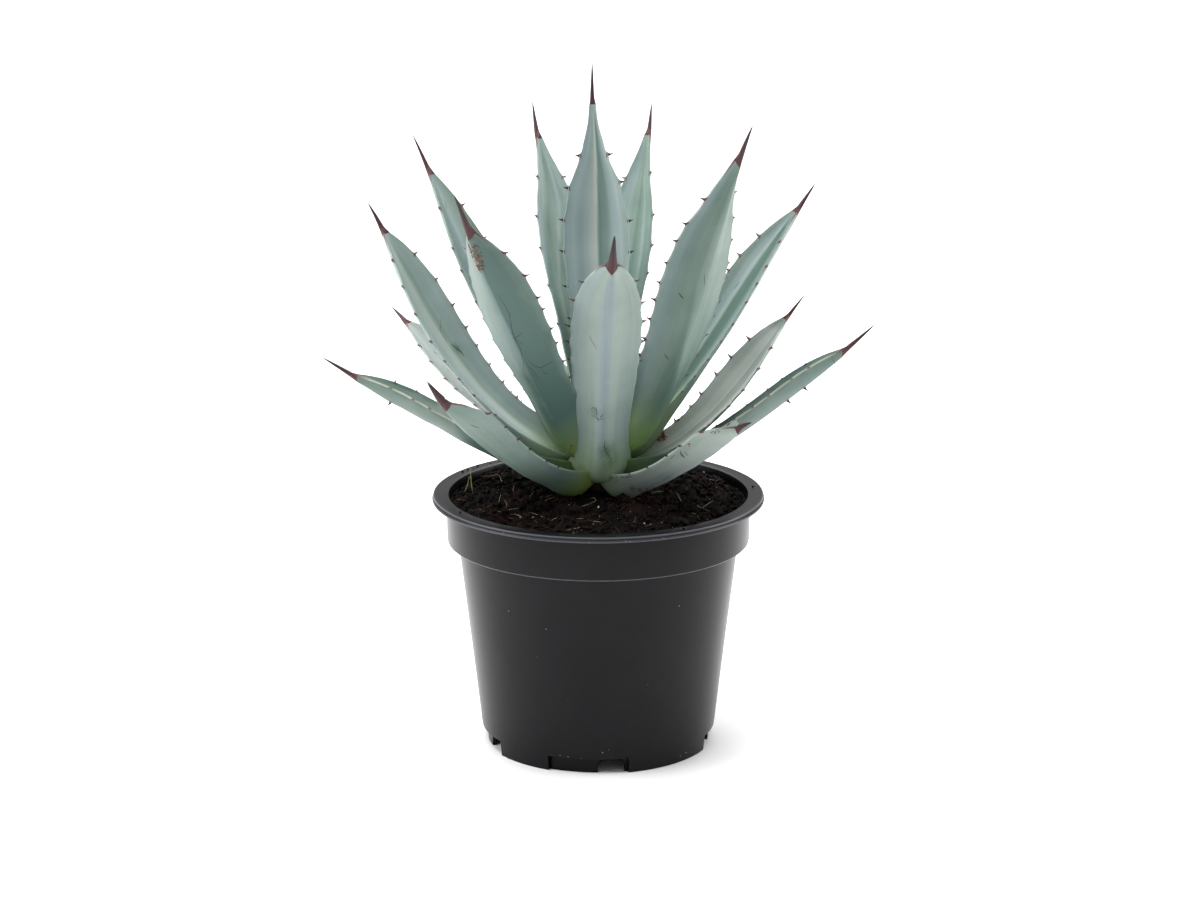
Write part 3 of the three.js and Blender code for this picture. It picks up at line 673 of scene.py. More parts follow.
# Share of the length, and the thickness on the midline there, or the depth of the channel.
THICKNESS = [(0, .35), (.08, 1), (.25, .74), (.6, .44), (.88, .34), (1, .27)]
CHANNEL = [(0, .5), (.1, .42), (.3, .28), (.6, .3), (.85, .42), (1, .5)]
MARGIN_THICKNESS = 0.9
TOOTH_HEIGHT = 3.1
FIRST_TOOTH = 12
TOOTH_GAP = 8.5
TOOTH_GAP_GROWTH = 4.5
TOOTH_STAGGER = 3.2
SCALLOP = 0.8
SCALLOP_REACH = 2.4
SWELL = 0.35
SWELLS_ALONG = 9
SPINE_NOTCH = 2.6
COLLAR_START = 0.94
CLASP_END = 0.08
KEELED_FROM = 0.35
ROUND_KEEL = 2.2
SHARP_KEEL = 1.25
MIDLINE_POINTS = 801
UPPER_CELLS = 30
LOWER_CELLS = 36
LENGTH_CELLS = 110


def through(rows, x, column=1):
    """Smooth value at x through rows of values, of which the first is the place."""
    rows = np.array(rows, float)
    at, value = rows[:, 0], rows[:, column]
    slope = np.array([
        (value[min(k + 1, len(at) - 1)] - value[max(k - 1, 0)])
        / (at[min(k + 1, len(at) - 1)] - at[max(k - 1, 0)]) for k in range(len(at))
    ])
    x = np.asarray(x, float)
    i = np.clip(np.searchsorted(at, x) - 1, 0, len(at) - 2)
    span = at[i + 1] - at[i]
    t = (x - at[i]) / span
    rise = t * t * (3 - 2 * t)
    return (value[i] * (1 - rise) + value[i + 1] * rise
            + span * (slope[i] * t * (1 - t) ** 2 + slope[i + 1] * t * t * (t - 1)))


def slope_direction(azimuth, rise):
    """Unit directions at the given azimuths and slopes, in degrees."""
    a, r = np.radians(azimuth), np.radians(rise)
    return np.stack([np.sin(a) * np.cos(r), -np.cos(a) * np.cos(r), np.sin(r) + 0 * a], -1)


def unit(v):
    """The vectors, each at a length of 1."""
    return v / np.linalg.norm(v, axis=-1, keepdims=True)


def smooth(t):
    """Runs from 0 to 1 with t, level at both ends."""
    t = np.clip(t, 0, 1)
    return t * t * (3 - 2 * t)


def midline(leaf):
    """Fine points along the blade's midline, and their distances from the root."""
    root, tip = np.array(polar(*leaf["root"])), np.array(polar(*leaf["tip"]))
    chord = np.linalg.norm(tip - root)
    first = root + slope_direction(leaf["root"][0], leaf["rise"][0]) * chord * leaf["hold"]
    second = tip - slope_direction(leaf["tip"][0], leaf["rise"][1]) * chord * 0.35
    t = np.linspace(0, 1, MIDLINE_POINTS)[:, None]
    points = ((1 - t) ** 3 * root + 3 * t * (1 - t) ** 2 * first
              + 3 * t * t * (1 - t) * second + t ** 3 * tip)
    steps = np.linalg.norm(np.diff(points, axis=0), axis=1)
    return points, np.r_[0, np.cumsum(steps)]


def frame_at(leaf, u):
    """Middle, along, side and up of the blade at shares u of its length."""
    points, run = leaf["points"], leaf["run"]

    def at(share):
        return np.stack([np.interp(share * run[-1], run, points[:, k]) for k in range(3)], -1)

    middle = at(u)
    along = unit(at(np.clip(u + 0.004, 0, 1)) - at(np.clip(u - 0.004, 0, 1)))
    azimuth = leaf["root"][0] + (leaf["tip"][0] - leaf["root"][0]) * u
    rise = np.degrees(np.arcsin(along[..., 2]))
    up = slope_direction(azimuth, rise + 90)
    side = unit(np.cross(along, up))
    up = np.cross(side, along)
    roll = np.radians(leaf["roll"][0] + (leaf["roll"][1] - leaf["roll"][0]) * u)[..., None]
    turned = side * np.cos(roll) + up * np.sin(roll)
    return middle, along, turned, up * np.cos(roll) - side * np.sin(roll)


def half_width(leaf, u):
    """Half of the blade's width, with the clasp at its foot and the collar under its spine."""
    young, old = through(OUTLINE, u, 1), through(OUTLINE, u, 2)
    collar = 1 + (leaf["collar"] - 1) * smooth((u - COLLAR_START) / (1 - COLLAR_START))
    clasp = 1 + leaf["clasp"] * smooth(1 - u / CLASP_END)
    return leaf["width"] / 2 * (young + (old - young) * leaf["blunt"]) * collar * clasp


def section(leaf, u, station, upper, edge=0.0):
    """Points of the skin at shares u of the length and stations from -1 to 1.

    upper is 1 on the upper face, 0 on the lower one and between them on the margin, and edge
    is how far the margin is drawn in.
    """
    middle, along, side, up = frame_at(leaf, u)
    half = half_width(leaf, u) - edge * np.abs(station) ** 6
    channel = half_width(leaf, u) * through(CHANNEL, u)
    thickness = leaf["thickness"] * through(THICKNESS, u)
    reach = np.abs(station)
    blunt = np.clip(leaf["blunt"], 0, 1)
    keen = SHARP_KEEL + 0.15 * blunt
    roundness = ROUND_KEEL + (keen - ROUND_KEEL) * smooth(u / KEELED_FROM)
    crease = SHARP_KEEL + 0.55 * blunt
    top = channel * reach ** crease
    keel = (thickness + channel - MARGIN_THICKNESS) * reach ** roundness - thickness
    margin = channel - MARGIN_THICKNESS * (1 - upper)
    level = np.where(upper > 0.99, top, np.where(upper < 0.01, keel, margin))
    end = np.clip((u - 0.97) / 0.03, 0, 1)
    notch = np.where(upper < 0.5, -SPINE_NOTCH * end * (1 - reach), 0)
    return (middle + side * (station * half)[..., None] + up * level[..., None]
            + along * notch[..., None])


def tooth_rows(leaf):
    """Shares of the length and heights of the teeth, root to tip, for both margins."""
    state = leaf["seed"]
    length = leaf["run"][-1]
    rows = []

    def draw():
        nonlocal state
        state = state * 16807 % 2147483647
        return state / 2147483647

    from_tip = FIRST_TOOTH + 10 * (1 - leaf["blunt"]) + 3 * draw()
    while from_tip < length * leaf["toothed"]:
        shift = TOOTH_STAGGER * (draw() - 0.5)
        growth = 0.75 + 0.5 * draw()
        middle = 1 - from_tip / length
        size = TOOTH_HEIGHT * growth * (0.55 + 0.45 * middle)
        rows.insert(0, (middle + shift / length, middle - shift / length, size))
        gap = TOOTH_GAP + TOOTH_GAP_GROWTH * middle
        from_tip += gap * leaf["pitch"] * (0.8 + 0.4 * draw())
    return rows


def scallops(leaf, u, column):
    """How far the margin draws in between its teeth, in millimetres."""
    length = leaf["run"][-1]
    bulge = np.zeros_like(u)
    for row in leaf["teeth"]:
        away = (u - row[column]) * length / SCALLOP_REACH
        bulge = np.maximum(bulge, np.exp(-away ** 2))
    first, last = leaf["teeth"][0][column], leaf["teeth"][-1][column]
    rise = np.clip((u - first) * length / 10 + 1, 0, 1)
    fall = np.clip((last - u) * length / 6 + 1, 0, 1)
    return SCALLOP * rise * fall * (1 - bulge)


def skin_spot(leaf, u, station, side, edge=0.0):
    """Points of the grown skin, which swells and sinks a little along the blade."""
    swell = np.array([
        noise.noise(Vector((s * 1.3, v * SWELLS_ALONG, leaf["seed"] % 97 + 3 * t)))
        for s, v, t in zip(station, u, side)
    ])
    _, _, _, up = frame_at(leaf, u)
    level = SWELL * swell * (1 - np.abs(station) ** 4)
    return section(leaf, u, station, side, edge) + up * level[:, None]


# Lengthwise bands on the skin, partly thicker and thinner bloom and partly painted highlight and
# painted shade, where one face of a crease or keel catches light and the face beside it lies in
# shade: face of the blade, the line the bands run beside (share of the length, station), and how
# much paler the skin is at either side of it.
BANDS = {
    "01": (1, [(.5, .03), (.63, .05), (.78, .125), (.92, .3)],
           [(-.95, -.05), (-.72, .12), (-.5, -.06), (-.3, .04), (-.1, .22), (-.035, .2),
            (.035, -.5), (.2, -.42), (.36, -.16), (.5, .02), (.65, .12), (.85, -.04)]),
    "02": (1, [(.4, -.4), (.5, -.39), (.78, .29), (.92, .45)],
           [(-.8, .06), (-.45, -.22), (-.12, -.04), (0, .13), (.1, -.1), (.5, .02)]),
    "03": (1, [(.6, .5), (.79, .41), (.92, .26)],
           [(-.7, -.02), (-.35, -.2), (-.1, -.06), (0, .12), (.1, -.12), (.35, .0)]),
    "04": (0, [(.2, -.3), (.28, -.26), (.43, .06), (.63, .21), (.8, .19)],
           [(-.9, -.04), (-.3, .0), (-.06, .1), (.04, -.14), (.3, -.18), (.7, -.04), (.9, .04)]),
    "05": (1, [(.3, -.3), (.9, -.3)],
           [(-.9, .05), (-.4, -.08), (-.14, .1), (0, .34), (.08, -.22), (.4, -.34), (.8, .04)]),
    "11": (0, [(.4, -.2), (.64, -.16), (.83, -.12)],
           [(-.95, -.02), (-.5, -.16), (-.2, -.24), (-.04, -.26), (.04, .2), (.3, .08), (.6, .22)]),
    "06": (1, [(.2, 0), (.9, 0)],
           [(-.8, .38), (-.4, .5), (-.06, .55), (0, .8), (.08, .3), (.4, .3), (.8, .5)]),
    "12": (1, [(.3, 0), (.9, .1)], [(-.5, -.08), (-.1, -.04), (0, .18), (.3, .1), (.7, -.05)]),
    "13": (1, [(.3, 0), (.9, 0)],
           [(-.9, .12), (-.6, -.14), (-.2, .06), (0, .1), (.2, -.18), (.5, -.08), (.8, .05)]),
    "09": (0, [(.3, .07), (.66, .08), (.87, .14)],
           [(-.6, -.03), (-.3, .03), (-.06, .06), (0, -.05), (.05, .02), (.5, .03), (.8, -.03)]),
}
# Stained skin: station, share of the length, reach in millimetres, and depth.
STAINS = {
    "11": [(-.5, .478, 4.5, .3), (-.04, .43, 5, .22), (-.82, .568, 4, .2), (-.3, .37, 6, .2)],
    "09": [(-.1, .19, 3.5, .5), (-.25, .14, 4, .4), (.35, .34, 2.5, .2)],
    "08": [(.3, .45, 5, .2)],
    "13": [(.3, .56, 2.5, .3)],
    "01": [(.6, .5, 5, .12)],
}


def bloom_and_shading_change(leaf, u, station, side):
    """How much paler or deeper the skin is than the blade's own tone: bands of bloom with painted
    highlight and painted shade, and stains.
    """
    change = np.zeros(len(u))
    if leaf["name"] in BANDS:
        face, line, tones = BANDS[leaf["name"]]
        line, tones = np.array(line), np.array(tones)
        beside = station - np.interp(u, line[:, 0], line[:, 1])
        fade = np.clip(u / 0.25, 0, 1) * np.clip((0.99 - u) / 0.06, 0, 1)
        band = np.interp(beside, tones[:, 0], tones[:, 1]) * fade
        change += np.where(np.abs(side - face) < 0.3, band, 0)
    for at, share, reach, depth in STAINS.get(leaf["name"], []):
        across = (station - at) * half_width(leaf, u)
        along = (u - share) * leaf["run"][-1]
        ragged = 1 + 0.5 * np.sin(across * 1.7 + along) * np.sin(along * 1.3)
        change -= depth * ragged * np.exp(-(across ** 2 + along ** 2) / reach ** 2)
    return change


def roll_up(name, cells, rows):
    """A grid to be rolled round a section, with its columns and the shares of its rows."""
    bpy.ops.object.select_all(action="DESELECT")
    bpy.ops.mesh.primitive_grid_add(x_subdivisions=cells, y_subdivisions=rows, size=2)
    made = start(name)
    grid = np.empty(len(made.data.vertices) * 3)
    made.data.vertices.foreach_get("co", grid)
    grid = (grid.reshape(-1, 3) + 1) / 2
    return made, np.rint(grid[:, 0] * cells).astype(int), grid[:, 1]


def close_up(made, spot):
    """Places the corners of a rolled grid, merges its seam and closes both of its ends."""
    made.data.vertices.foreach_set("co", (spot * MM).ravel())
    bpy.ops.object.mode_set(mode="EDIT")
    bpy.ops.mesh.select_all(action="SELECT")
    bpy.ops.mesh.remove_doubles(threshold=2e-6)
    bpy.ops.mesh.fill_holes(sides=0)
    face_outwards()
    settle(made)


def keep(piece, name, kind, values):
    """Keeps values on the corners of a piece, where its material reads them."""
    layer = piece.data.attributes.new(name, kind, "POINT")
    field = "vector" if kind == "FLOAT_VECTOR" else "value"
    layer.data.foreach_set(field, values.astype(np.float32).ravel())


def blade(leaf):
    """The blade's skin, from a grid whose width is wrapped round the section."""
    stations = np.r_[
        np.linspace(-1, 1, UPPER_CELLS + 1), 1.012, np.linspace(1, -1, LOWER_CELLS + 1), -1.012, -1
    ]
    sides = np.r_[np.ones(UPPER_CELLS + 1), 0.5, np.zeros(LOWER_CELLS + 1), 0.5, 1]
    skin, column, u = roll_up("blade_" + leaf["name"], len(stations) - 1, LENGTH_CELLS)
    station, side = stations[column], sides[column]
    edge = np.where(station < 0, scallops(leaf, u, 0), scallops(leaf, u, 1))
    spot = skin_spot(leaf, u, station, side, edge)
    habit = np.tile([leaf["light"], leaf["edge"], leaf["green"]], (len(u), 1))
    # The lightness takes the bands, which carry painted highlight and painted shade, and the
    # stains.
    habit[:, 0] += bloom_and_shading_change(leaf, u, station, side)
    habit[:, 1] *= np.clip((u - 0.15) / 0.15, 0, 1)
    traits = [(leaf["seed"] % 1009) / 1009, leaf["grey"], leaf["young"]]
    keep(skin, "place", "FLOAT_VECTOR", np.stack([station, u, side], -1))
    keep(skin, "tone", "FLOAT_VECTOR", habit)
    keep(skin, "own", "FLOAT_VECTOR", np.tile(traits, (len(u), 1)))
    close_up(skin, spot)
    return skin


for i, (name, root, tip, rise, width, blunt, rest) in enumerate(LEAVES):
    leaf = {**USUAL, **rest}
    leaf.update(name=name, root=root, tip=tip, rise=rise, width=width, blunt=blunt)
    leaf["seed"] = 7919 + 104729 * i
    leaf["points"], leaf["run"] = midline(leaf)
    leaf["teeth"] = tooth_rows(leaf)
    LEAVES[i] = leaf

# Agave skin: firm green flesh under a blue-grey wax bloom, smooth and satin. The bloom lies in
# a few broad lengthwise bands; low on the blade it wears off, and the skin is deep green and
# then yellow-green. The margin is a hair-thin horny line. "place" holds the station, the
# share of the length and the face; "tone" light, edge and green; "own" seed, grey and young.
skin_wax, shader = surface("agave_skin_wax_bloom", Roughness=0.43, IOR=1.42)
shader.inputs["Subsurface Weight"].default_value = 0.1
shader.inputs["Subsurface Radius"].default_value = (0.004, 0.006, 0.003)
shader.inputs["Subsurface Scale"].default_value = 0.3
place = node(skin_wax, "ShaderNodeAttribute", {"attribute_name": "place"}).outputs["Vector"]
tone = node(skin_wax, "ShaderNodeAttribute", {"attribute_name": "tone"}).outputs["Vector"]
traits = node(skin_wax, "ShaderNodeSeparateXYZ", {}, {
    "Vector": node(skin_wax, "ShaderNodeAttribute", {"attribute_name": "own"}).outputs["Vector"]})
seed = traits.outputs["X"]
world = node(skin_wax, "ShaderNodeTexCoord").outputs["Object"]
split = node(skin_wax, "ShaderNodeSeparateXYZ", {}, {"Vector": place})
habit = node(skin_wax, "ShaderNodeSeparateXYZ", {}, {"Vector": tone})
own = node(skin_wax, "ShaderNodeCombineXYZ", {}, {"X": seed, "Y": seed, "Z": seed})
# The seed moves the pattern, so that no two leaves have the same bands.
moved = node(skin_wax, "ShaderNodeVectorMath",
             {"operation": "MULTIPLY_ADD", 1: (37.0, 19.0, 53.0)},
             {0: own.outputs["Vector"], 2: place})
broad = node(skin_wax, "ShaderNodeMapping", {"Scale": (2.3, 0.55, 1.3)},
             {"Vector": moved.outputs["Vector"]})
bands = node(skin_wax, "ShaderNodeTexNoise", {"Scale": 1.0, "Detail": 2, "Roughness": 0.45},
             {"Vector": broad.outputs["Vector"]})
narrow = node(skin_wax, "ShaderNodeMapping", {"Scale": (11.0, 0.9, 1.3)},
              {"Vector": moved.outputs["Vector"]})
lines = node(skin_wax, "ShaderNodeTexNoise", {"Scale": 1.0, "Detail": 2, "Roughness": 0.5},
             {"Vector": narrow.outputs["Vector"]})
cloud = node(skin_wax, "ShaderNodeTexNoise", {"Scale": 45, "Detail": 5, "Roughness": 0.62},
             {"Vector": world})
# The worn base of the blade, from the root to nearly half of the length.
base = node(skin_wax, "ShaderNodeMapRange",
            {"interpolation_type": "SMOOTHSTEP", "From Min": 0.5, "From Max": 0.08},
            {"Value": split.outputs["Y"]})
worn = node(skin_wax, "ShaderNodeMath", {"operation": "MULTIPLY"},
            {0: base.outputs["Result"], 1: habit.outputs["Z"]})
value = habit.outputs["X"]
for part, weight, middle in (
    (bands.outputs["Fac"], 0.5, 0.5), (lines.outputs["Fac"], 0.12, 0.5),
    (cloud.outputs["Fac"], 0.3, 0.5), (worn.outputs["Value"], -0.55, 0.0),
):
    swing = node(skin_wax, "ShaderNodeMath", {"operation": "SUBTRACT", 1: middle}, {0: part})
    value = node(skin_wax, "ShaderNodeMath", {"operation": "MULTIPLY_ADD", 1: weight},
                 {0: swing.outputs["Value"], 2: value}).outputs["Value"]
eased = node(skin_wax, "ShaderNodeMath", {"operation": "MULTIPLY", 1: 0.8}, {0: value})
bloom = node(skin_wax, "ShaderNodeValToRGB", {}, {"Fac": eased.outputs["Value"]})
bloom.color_ramp.elements[0].position = 0.0
bloom.color_ramp.elements[0].color = linear("#49655b")
bloom.color_ramp.elements[1].position = 1.0
bloom.color_ramp.elements[1].color = linear("#d6dcd8")
for position, tint in ((0.28, "#728881"), (0.52, "#92a49f"), (0.8, "#b4beb9")):
    bloom.color_ramp.elements.new(position).color = linear(tint)
# The lowest part of the blade, above the clasping foot, is yellow-green on most leaves.
higher = node(skin_wax, "ShaderNodeMath", {"operation": "SUBTRACT", "use_clamp": True, 1: 1.0},
              {0: traits.outputs["Z"]})
lowered = node(skin_wax, "ShaderNodeMath", {"operation": "MULTIPLY_ADD", 1: -0.2},
               {0: higher.outputs["Value"], 2: split.outputs["Y"]})
foot = node(skin_wax, "ShaderNodeMapRange",
            {"interpolation_type": "SMOOTHSTEP", "From Min": 0.27, "From Max": 0.04},
            {"Value": lowered.outputs["Value"]})
fresh = node(skin_wax, "ShaderNodeMath", {"operation": "MULTIPLY_ADD", 1: -2.0},
             {0: higher.outputs["Value"], 2: traits.outputs["Z"]})
young = node(skin_wax, "ShaderNodeMath", {"operation": "MULTIPLY"},
             {0: foot.outputs["Result"], 1: fresh.outputs["Value"]})
bluish = node(skin_wax, "ShaderNodeMapRange", {"From Min": 0.42, "From Max": 0.62},
              {"Value": node(skin_wax, "ShaderNodeTexNoise", {"Scale": 0.8, "Detail": 1},
                             {"Vector": broad.outputs["Vector"]}).outputs["Fac"]})
hue = node(skin_wax, "ShaderNodeMix",
           {"data_type": "RGBA", 6: (0.985, 0.965, 0.92, 1.0), 7: (0.955, 0.94, 1.02, 1.0)},
           {0: bluish.outputs["Result"]})
tinted = node(skin_wax, "ShaderNodeMix", {"data_type": "RGBA", "blend_type": "MULTIPLY", 0: 1.0},
              {6: bloom.outputs["Color"], 7: hue.outputs[2]})
greyed = node(skin_wax, "ShaderNodeMix",
              {"data_type": "RGBA", "blend_type": "MULTIPLY", 7: (1.0, 0.93, 0.965, 1.0)},
              {0: traits.outputs["Y"], 6: tinted.outputs[2]})
greened = node(skin_wax, "ShaderNodeMix", {"data_type": "RGBA", 7: linear("#86a04e")},
               {0: young.outputs["Value"], 6: greyed.outputs[2]})
reach = node(skin_wax, "ShaderNodeMath", {"operation": "ABSOLUTE"}, {0: split.outputs["X"]})
rim = node(skin_wax, "ShaderNodeMapRange", {"From Min": 0.985, "From Max": 1.002},
           {"Value": reach.outputs["Value"], "To Max": habit.outputs["Y"]})
patchy = node(skin_wax, "ShaderNodeMix",
              {"data_type": "RGBA", 6: linear("#8f8a76"), 7: linear("#c2c8b8")},
              {0: cloud.outputs["Fac"]})
horn_edge = node(skin_wax, "ShaderNodeMix", {"data_type": "RGBA"},
                 {0: rim.outputs["Result"], 6: greened.outputs[2], 7: patchy.outputs[2]})
# The red-brown horn of the spine runs a few millimetres down both margins.
tail = node(skin_wax, "ShaderNodeMapRange", {"From Min": 0.94, "From Max": 0.995},
            {"Value": split.outputs["Y"]})
run = node(skin_wax, "ShaderNodeMath", {"operation": "MULTIPLY"}, {
    0: tail.outputs["Result"],
    1: node(skin_wax, "ShaderNodeMapRange", {"From Min": 0.9, "From Max": 1.0},
            {"Value": reach.outputs["Value"]}).outputs["Result"]})
finished = node(skin_wax, "ShaderNodeMix", {"data_type": "RGBA", 7: linear("#5b3a38")},
                {0: run.outputs["Value"], 6: horn_edge.outputs[2]})
relief = node(skin_wax, "ShaderNodeBump", {"Strength": 0.25, "Distance": 0.0004},
              {"Height": lines.outputs["Fac"]})
sheen = node(skin_wax, "ShaderNodeMapRange", {"To Min": 0.5, "To Max": 0.36},
             {"Value": cloud.outputs["Fac"]})
skin_wax.node_tree.links.new(finished.outputs[2], shader.inputs["Base Color"])
skin_wax.node_tree.links.new(sheen.outputs["Result"], shader.inputs["Roughness"])
skin_wax.node_tree.links.new(relief.outputs["Normal"], shader.inputs["Normal"])

# Teeth and spines: hard horn, red-brown at the foot and almost black at the point.
horn, shader = surface("agave_horn_dark", Roughness=0.4, IOR=1.5, Specular_IOR_Level=0.35)
share = node(horn, "ShaderNodeAttribute", {"attribute_name": "share"}).outputs["Fac"]
ramp = node(horn, "ShaderNodeValToRGB", {}, {"Fac": share})
ramp.color_ramp.elements[0].color = linear("#6e4038")
ramp.color_ramp.elements[1].color = linear("#1d1315")
for position, tint in ((0.25, "#4f2a2b"), (0.55, "#3c2224")):
    ramp.color_ramp.elements.new(position).color = linear(tint)
horn.node_tree.links.new(ramp.outputs["Color"], shader.inputs["Base Color"])

# One tooth: a cone 1 high on a flat oval foot, its point swept towards the leaf's tip.
TOOTH_SIDES = 7
TOOTH_LONG = 3.6
TOOTH_THICK = 1.2
TOOTH_SUNK = 0.8
TOOTH_SWEEP = 0.22
TOOTH_PINCH = 0.45
bpy.ops.object.select_all(action="DESELECT")
bpy.ops.mesh.primitive_cone_add(
    vertices=TOOTH_SIDES, radius1=0.5, radius2=0.02, depth=1, location=(0, 0, 0.5)
)
tooth = start("tooth")
settle(tooth)
bpy.ops.object.mode_set(mode="EDIT")
for level in (0.25, 0.55, 0.8):
    bpy.ops.mesh.select_all(action="SELECT")
    bpy.ops.mesh.bisect(plane_co=(0, 0, level), plane_no=(0, 0, 1))
bpy.ops.object.mode_set(mode="OBJECT")
for vertex in tooth.data.vertices:
    x, y, z = vertex.co
    pinch = 1 - TOOTH_PINCH * math.sin(math.pi * min(z, 1.0)) if z > 0 else 1
    vertex.co = (x * pinch + TOOTH_SWEEP * z * z, y * pinch, z)
tooth_corners = np.array([v.co[:] for v in tooth.data.vertices])
tooth_faces = [tuple(p.vertices) for p in tooth.data.polygons]
bpy.data.objects.remove(tooth)


def prickles(leaf):
    """The teeth of both margins and of the keel as one piece, each on its own foot."""
    spots, faces = [], []
    feet = []
    for left, right, height in leaf["teeth"]:
        feet += [(left, -1, height), (right, 1, height)]
    feet += [(share, 0, 0.8 * TOOTH_HEIGHT) for share in leaf["keel_teeth"]]
    for share, sign, height in feet:
        u = np.array([share])
        level = 0.5 if sign else 0.0
        foot = section(leaf, u, np.array([float(sign)]), np.array([level]))[0]
        _, along, side, up = (v[0] for v in frame_at(leaf, u))
        outward = unit(side * sign + up * (0.35 if sign else -1.0))
        thick = np.cross(outward, along)
        first = len(spots) * len(tooth_corners)
        faces += [tuple(first + i for i in face) for face in tooth_faces]
        spots.append(foot + along * (tooth_corners[:, :1] * TOOTH_LONG)
                     + thick * (tooth_corners[:, 1:2] * TOOTH_THICK)
                     + outward * (tooth_corners[:, 2:] * (height + TOOTH_SUNK) - TOOTH_SUNK))
    made = body("teeth_" + leaf["name"], np.concatenate(spots) * MM, faces)
    keep(made, "share", "FLOAT", np.tile(tooth_corners[:, 2], len(spots)))
    settle(made)
    bpy.ops.object.mode_set(mode="EDIT")
    face_outwards()
    settle(made)
    return made


for leaf in LEAVES:
    dress(blade(leaf), skin_wax, ["leaf_" + leaf["name"]], 60)
    dress(prickles(leaf), horn, ["leaf_" + leaf["name"]], 50)

# Dried scales of old leaf bases, torn, caught between the blades: orange-brown and thin.
# Middle of each little heap, and how many lie there.
scale_dry, shader = surface("leaf_scale_dry", Roughness=0.75)
place = node(scale_dry, "ShaderNodeTexCoord").outputs["Object"]
tint = node(scale_dry, "ShaderNodeTexNoise", {"Scale": 300, "Detail": 3}, {"Vector": place})
colour = node(scale_dry, "ShaderNodeMix",
              {"data_type": "RGBA", 6: linear("#3a1a10"), 7: linear("#b06a3c")},
              {0: tint.outputs["Fac"]})
scale_dry.node_tree.links.new(colour.outputs[2], shader.inputs["Base Color"])
SCALE_HEAPS = [((-12.9, -22.5, 161), 9), ((-13.8, -18.5, 155.5), 8), ((30.5, 12.5, 155.3), 14),
               ((33, 13.5, 157.5), 22), ((42, 21, 165), 4), ((26, 8, 152.5), 6)]
scales = []
for middle, count in SCALE_HEAPS:
    for _ in range(count):
        spot = Vector(middle) + Vector([chance.gauss(0, 0.9) for _ in range(3)])
        size = chance.uniform(1.0, 2.8)
        turned = Matrix.Rotation(chance.uniform(0, 6.28), 4, "Z") @ Matrix.Rotation(
            chance.uniform(-1.2, 1.2), 4, "X")
        scales.append((Matrix.Translation(spot * MM) @ turned
                       @ Matrix.Diagonal([0.5 * size * MM, size * MM, 0.22 * size * MM, 1]), 0))
scatter("dried_scales", crumb("scale", 0.35), scales, scale_dry)

# ------------------------------------------------------------------------- scars on the leaves
# Healed wounds of the skin: dark green scratches where leaves rubbed on each other, and
# corky brown scars. Each is a low ridge that grew from the blade. For each leaf: width in
# millimetres, face of the blade (1 upper, 0 lower), and a path of stations and shares.
SCRATCHES = {
    "11": [
        (0.58, 0, [(-.24, .78), (-.29, .745), (-.31, .70), (-.22, .64), (-.19, .605), (-.22, .56),
                   (-.16, .51), (-.07, .465)]),
        (0.64, 0, [(-.14, .605), (-.3, .61), (-.43, .62)]),
        (0.51, 0, [(-.17, .63), (-.21, .6), (-.33, .575)]),
        (0.58, 0, [(-.29, .51), (-.36, .48), (-.5, .465), (-.7, .4725), (-.8, .475)]),
        (0.44, 0, [(-.48, .47), (-.52, .44), (-.62, .43)]),
        (0.38, 0, [(-.2, .5), (-.3, .455), (-.33, .42)]),
    ],
    "13": [
        (0.38, 1, [(.425, .675), (.14, .6425), (.1, .595)]),
        (1.1, 1, [(.2, .585), (.3, .56), (.36, .545), (.37, .525)]),
        (0.32, 1, [(.35, .585), (.38, .55)]),
    ],
    "09": [
        (0.64, 0, [(.06, .345), (.17, .325)]),
        (0.51, 0, [(.5, .3475), (.375, .3625), (.24, .345)]),
        (0.44, 0, [(.3, .375), (.27, .32), (.2, .305)]),
        (0.38, 0, [(.45, .325), (.2, .318), (-.05, .328)]),
        (0.58, 0, [(-.025, .235), (0, .2075), (-.11, .1825), (-.29, .15)]),
        (0.32, 0, [(.5, .67), (.425, .6475), (.275, .615)]),
    ],
    "04": [
        (1.1, 0, [(.57, .589), (.42, .573)]),
        (1, 0, [(.46, .389), (.3, .375)]),
        (0.38, 0, [(.1, .66), (.02, .62)]),
    ],
    "08": [
        (0.7, 0, [(.9, .69), (.82, .672), (.7, .664), (.63, .66)]),
        (0.4, 0, [(.8, .7), (.7, .69), (.62, .685)]),
        (0.35, 0, [(-.1, .45), (-.3, .42), (-.36, .38)]),
    ],
    "07": [
        (0.75, 0, [(.9, .952), (.4, .95), (-.3, .948), (-.9, .95)]),
        (0.64, 1, [(-.86, .9525), (0, .95), (.8, .952)]),
    ],
    "12": [(0.38, 1, [(.19, .9125), (.08, .88)])],
    "10": [(0.44, 0, [(-.39, .86), (-.52, .82)]), (0.38, 0, [(-.1, .6), (-.22, .57)])],
    "14": [(0.51, 1, [(.06, .84), (.1, .825)])],
    "15": [(0.51, 0, [(.2, .72), (.1, .7), (.12, .66)])],
    "05": [(0.64, 0, [(.3, .62), (.22, .605)]), (0.38, 1, [(-.4, .71), (-.42, .68)])],
}
RIDGE_HEIGHT = 0.14
RIDGE_SUNK = 0.05
RIDGE_ROOT = 0.35
RIDGE_SIDES = 4


